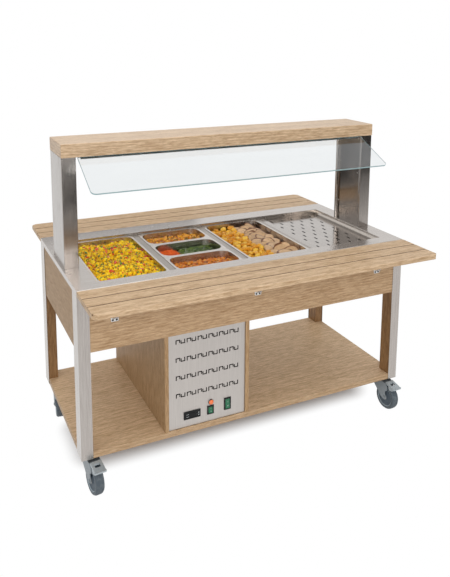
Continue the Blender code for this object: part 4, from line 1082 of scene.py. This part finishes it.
def makeThermostatMarks():
    low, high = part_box("thermostat")
    middle, face, wide = (low.z + high.z) / 2, low.y, high.x - low.x
    keys = bmesh.new()
    x = low.x + wide * 0.17
    for row, way in ((0.0052, 1), (-0.0052, -1)):  # up and down arrows, each with a short bar beside it
        z = middle + row
        flatMark(keys, [(x - 0.0022, z - way * 0.0018), (x + 0.0022, z - way * 0.0018), (x, z + way * 0.002)], face)
        flatMark(keys, bar(x + 0.0062, z, 0.0036, 0.0022), face)
    for row in (0.0046, -0.0046):
        flatMark(keys, bar(high.x - wide * 0.12, middle + row, 0.0042, 0.0042), face)
    flatMark(keys, bar(high.x - wide * 0.22, middle, 0.0016, 0.0016), face)
    keepMarks("thermostatKeys", keys, whitePrint, "frame")
    window = bmesh.new()
    flatMark(window, bar(low.x + wide * 0.52, middle, wide * 0.36, (high.z - low.z) * 0.5), face, 0.00015)
    keepMarks("thermostatWindow", window, displayGlass, "frame")


def makeRockerMarks(size):  # a stroke for on and a ring for off, on the rocker's sloping face
    node = f"{size}_switch_rocker"
    points = [point.co for point in frame["nodes"][node].data.vertices]
    low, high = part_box(node)
    slopeTop = min(spot.y for spot in points if spot.z > high.z - 0.002)
    slopeFoot = min(spot.y for spot in points if spot.z < low.z + 0.002)
    tall, x = high.z - low.z, low.x + (high.x - low.x) * 0.56
    marks = bmesh.new()
    for share, isOn in ((0.3, True), (0.72, False)):
        z = high.z - tall * share
        face = slopeTop + (slopeFoot - slopeTop) * share - 0.0001
        if isOn:
            flatMark(marks, bar(x, z, 0.0011, tall * 0.15), face, 0.0003)
        else:
            ringMark(marks, x, z, tall * 0.075, 0.0011, face)
    keepMarks(f"{size}RockerMarks", marks, whitePrint, f"{size}_rocker")


def makeClamps():  # small dark pads on the pane where it comes out from under the canopy
    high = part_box("sneeze_glass")[1]
    fall, normal = glassPane["fall"], Vector(glassPane["normal"])
    along = Vector((0.0, -math.cos(fall), -math.sin(fall)))
    start = (high.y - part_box("canopy")[0].y) / math.cos(fall)
    profile = ((0.0004, 0.0), (0.006, 0.0), (0.0045, 0.0018), (0.0016, 0.0018))
    shape = bmesh.new()
    for k in range(clamps["number"]):
        x = clamps["from"] + clamps["every"] * k
        ends = []
        for side in (-1, 1):
            corner = Vector((x + side * clamps["half"], high.y, high.z))
            ends.append([shape.verts.new(corner + along * (start + reach) + normal * (lift + 0.0002))
                         for reach, lift in profile])
        shape.faces.new(ends[0])
        shape.faces.new(list(reversed(ends[1])))
        wall(shape, *ends)
    keepMarks("glassClamps", shape, clampGrey, "frame")


def makeGlassLine():  # the pane's cut edges, which gather light and show as a thin blue-green line
    shape = bmesh.new()
    shape.from_mesh(made["sneeze_glass_look"].data)
    normal = Vector(glassPane["normal"])
    panes = [face for face in shape.faces if abs(face.normal.dot(normal)) > 0.6]
    bmesh.ops.delete(shape, geom=panes, context="FACES")
    shape.normal_update()
    outwards = {point: point.normal.copy() for point in shape.verts}
    for point, way in outwards.items():
        point.co += way * 0.00005
    lips = [edge.link_loops[0] for edge in shape.edges if len(edge.link_faces) == 1]
    walls = [(lip.link_loop_next.vert, lip.vert) for lip in lips]
    inner = {point: shape.verts.new(point.co - way * 0.0003) for point, way in outwards.items()}
    for face in shape.faces[:]:
        shape.faces.new([inner[point] for point in reversed(face.verts[:])])
    for first, second in walls:
        shape.faces.new((first, second, inner[second], inner[first]))
    keepMarks("glassLine", shape, edgeTint, "frame")


def slotOutlines():  # the closed outlines in which the drip plate's top meets an upright wall
    plate = bmesh.new()
    plate.from_mesh(made["perforated_plate_look"].data)
    plate.edges.index_update()
    lips = []
    for edge in plate.edges:
        heights = sorted(face.normal.z for face in edge.link_faces)
        if len(heights) == 2 and heights[1] > 0.95 and abs(heights[0]) < 0.3:
            lips.append(edge)
    unused = {edge.index for edge in lips}
    outlines = []
    for first in lips:
        if first.index not in unused:
            continue
        unused.discard(first.index)
        loop = [first.verts[0], first.verts[1]]
        while loop[-1] != loop[0]:
            onward = next((edge for edge in loop[-1].link_edges if edge.index in unused), None)
            if not onward:
                break
            unused.discard(onward.index)
            loop.append(onward.other_vert(loop[-1]))
        if loop.pop() == loop[0]:
            outlines.append([point.co.copy() for point in loop])
    plate.free()
    return outlines


def makeSlotRims():  # a dark rim round each slot of the drip plate, painted shade of the slot's walls
    shape = bmesh.new()
    lift, up = Vector((0.0, 0.0, 0.00005)), Vector((0.0, 0.0, slotRims["thick"]))
    for spots in slotOutlines():
        centre = sum(spots, Vector()) / len(spots)
        far = max(spots, key=lambda spot: (spot - centre).length)
        half = (far - centre).length
        if half * 2 > slotRims["longest"]:
            continue
        along = (far - centre).normalized()
        across = Vector((-along.y, along.x, 0.0))
        narrow = max(abs((spot - centre).dot(across)) for spot in spots)
        longer, wider = 1 + slotRims["wide"] / half, 1 + slotRims["wide"] / narrow
        inner, outer = [spot + lift for spot in spots], []
        for spot in spots:
            a, b = (spot - centre).dot(along), (spot - centre).dot(across)
            outer.append(centre + along * a * longer + across * b * wider + lift)
        rings = (inner, [spot + up for spot in inner], [spot + up for spot in outer], outer)
        wallRound(shape, [[shape.verts.new(spot) for spot in ring] for ring in rings])
    keepMarks("slotRims", shape, slotShade, bodyOf["perforated_plate"])


makeScrews()
makeThermostatMarks()
makeRockerMarks("small")
makeRockerMarks("large")
makeClamps()
makeGlassLine()
makeSlotRims()
print("fittings placed:", len(made), "pieces in all")


# floor, light and camera

studio = {
    "floor": (204, 204, 206),
    "floorHalf": 14.0,
    "shadowHalf": (0.64, 0.10, 0.0),  # the part of the floor that keeps its shadow
    "fadeTo": 0.165,
    "fadePower": 1.7,
    "ambient": 0.75,
    "lamps": {  # spot, aim, width, height, energy
        "topSoftbox": ((-0.6, -0.6, 3.4), (0.0, 0.0, 0.7), 3.0, 2.4, 25.0),
        "frontSoftbox": ((-0.9, -3.9, 2.1), (0.0, 0.0, 0.5), 2.4, 1.6, 60.0),
        "backSoftbox": ((0.3, 3.7, 1.35), (0.0, 0.0, 0.3), 2.6, 1.2, 42.0),
        "sheenCard": ((0.02, -3.55, 0.84), (-0.72, -0.15, 1.37), 0.5, 0.26, 1.3),
    },
    "flags": {  # corner, then two sides
        "frontFlag": ((-1.2, -3.6, 0.0), (7.0, 0.0, 0.0), (0.0, 0.0, 1.9)),
        "backFlag": ((-0.75, 1.5, 0.62), (1.25, 0.0, 0.0), (0.0, 0.0, 0.6)),
    },
}
lens = {
    "spot": (-1.3265, -2.8224, 1.8598), "round": -25.82, "above": 9.28, "roll": 0.40,
    "focal": 42.0, "shift": (-0.0090, -0.2574),
}


def lightPathSeen(tree):  # rays that show the backdrop: to the camera, in metal and through glass
    path = put(tree, "LightPath")
    seen = sums("MAXIMUM", path.outputs["Is Camera Ray"], path.outputs["Is Glossy Ray"])
    return sums("MAXIMUM", seen, path.outputs["Is Transmission Ray"])


def makeFloor():
    shape = bmesh.new()
    bmesh.ops.create_grid(shape, x_segments=8, y_segments=8, size=studio["floorHalf"])
    floor = linked("studioFloor", meshOf("studioFloor", shape, outward=False))
    material, tree, sockets, place = newFinish("studioFloor", Roughness=0.9, Specular_IOR_Level=0.0)
    patches = between(cloudy(place, 1.5, 3.0), studio["floor"], [value + 2 for value in studio["floor"]])
    feed(patches, sockets["Base Color"])
    beyond = vectors("SUBTRACT", vectors("ABSOLUTE", place), studio["shadowHalf"])
    beyond = vectors("MAXIMUM", beyond, (0.0, 0.0, 0.0))
    far = spread(vectors("LENGTH", beyond), 0.0, studio["fadeTo"])
    far = sums("POWER", far, studio["fadePower"])
    seen = times(far, lightPathSeen(tree))
    shader, glow = tree.nodes["Principled BSDF"].outputs[0], put(tree, "Emission").outputs[0]
    mix = fedNode((seen, shader, glow), "MixShader")
    feed(mix.outputs[0], tree.nodes["Material Output"].inputs["Surface"])
    floor.data.materials.append(material)


def makeSky():  # white where it is seen, and a little dimmer as light
    world = bpy.data.worlds.new("studio")
    bpy.context.scene.world = world
    world.use_nodes = True
    tree = world.node_tree
    sky = tree.nodes["Background"].inputs
    sky["Color"].default_value = (1.0, 1.0, 1.0, 1.0)
    feed(spread(lightPathSeen(tree), 0.0, 1.0, studio["ambient"], 1.0), sky["Strength"])


def makeFlag(name, corner, across, upward):  # a black card that only metal and gloss can see
    shape = bmesh.new()
    corner, across, upward = Vector(corner), Vector(across), Vector(upward)
    grid = [[shape.verts.new(corner + across * a / 4 + upward * b / 4) for a in range(5)] for b in range(5)]
    for b in range(4):
        for a in range(4):
            shape.faces.new((grid[b][a], grid[b][a + 1], grid[b + 1][a + 1], grid[b + 1][a]))
    card = linked(name, meshOf(name, shape, outward=False))
    card.data.materials.append(skinFinish(name, (28, 26, 25), 0.9, 0.2, 20.0))
    card.visible_camera = card.visible_diffuse = card.visible_transmission = card.visible_shadow = False


def makeSoftbox(name, spot, aim, wide, high, energy):
    lamp = bpy.data.lights.new(name, "AREA")
    lamp.shape = "RECTANGLE"
    lamp.size, lamp.size_y, lamp.energy = wide, high, energy
    piece = linked(name, lamp)
    piece.location = spot
    piece.rotation_euler = (Vector(aim) - Vector(spot)).to_track_quat("-Z", "Y").to_euler()


def makeCamera():  # placed by the edges of the bench, and shifted down so that its uprights stay nearly parallel
    data = bpy.data.cameras.new("camera")
    data.lens = lens["focal"]
    data.sensor_width = 36.0
    data.shift_x, data.shift_y = lens["shift"]
    data.clip_start, data.clip_end = 0.1, 60.0
    camera = linked("camera", data)
    turn, rise, roll = (math.radians(lens[key]) for key in ("round", "above", "roll"))
    back = Vector((math.sin(turn) * math.cos(rise), -math.cos(turn) * math.cos(rise), math.sin(rise)))
    right = Vector((math.cos(turn), math.sin(turn), 0.0))
    upward = back.cross(right)
    across = right * math.cos(roll) + upward * math.sin(roll)
    over = upward * math.cos(roll) - right * math.sin(roll)
    camera.matrix_world = Matrix.Translation(lens["spot"]) @ Matrix((across, over, back)).transposed().to_4x4()
    bpy.context.scene.camera = camera


makeFloor()
makeSky()
for name, sides in studio["flags"].items():
    makeFlag(name, *sides)
for name, lamp in studio["lamps"].items():
    makeSoftbox(name, *lamp)
bpy.data.objects["sheenCard"].visible_diffuse = False  # it only puts the pale sheen on the canopy's front
bpy.data.objects["backSoftbox"].visible_glossy = False  # it lifts the lower shelf, and no metal mirrors it
makeCamera()
bpy.context.scene.view_settings.view_transform = "Standard"
print("floor, light and camera set")
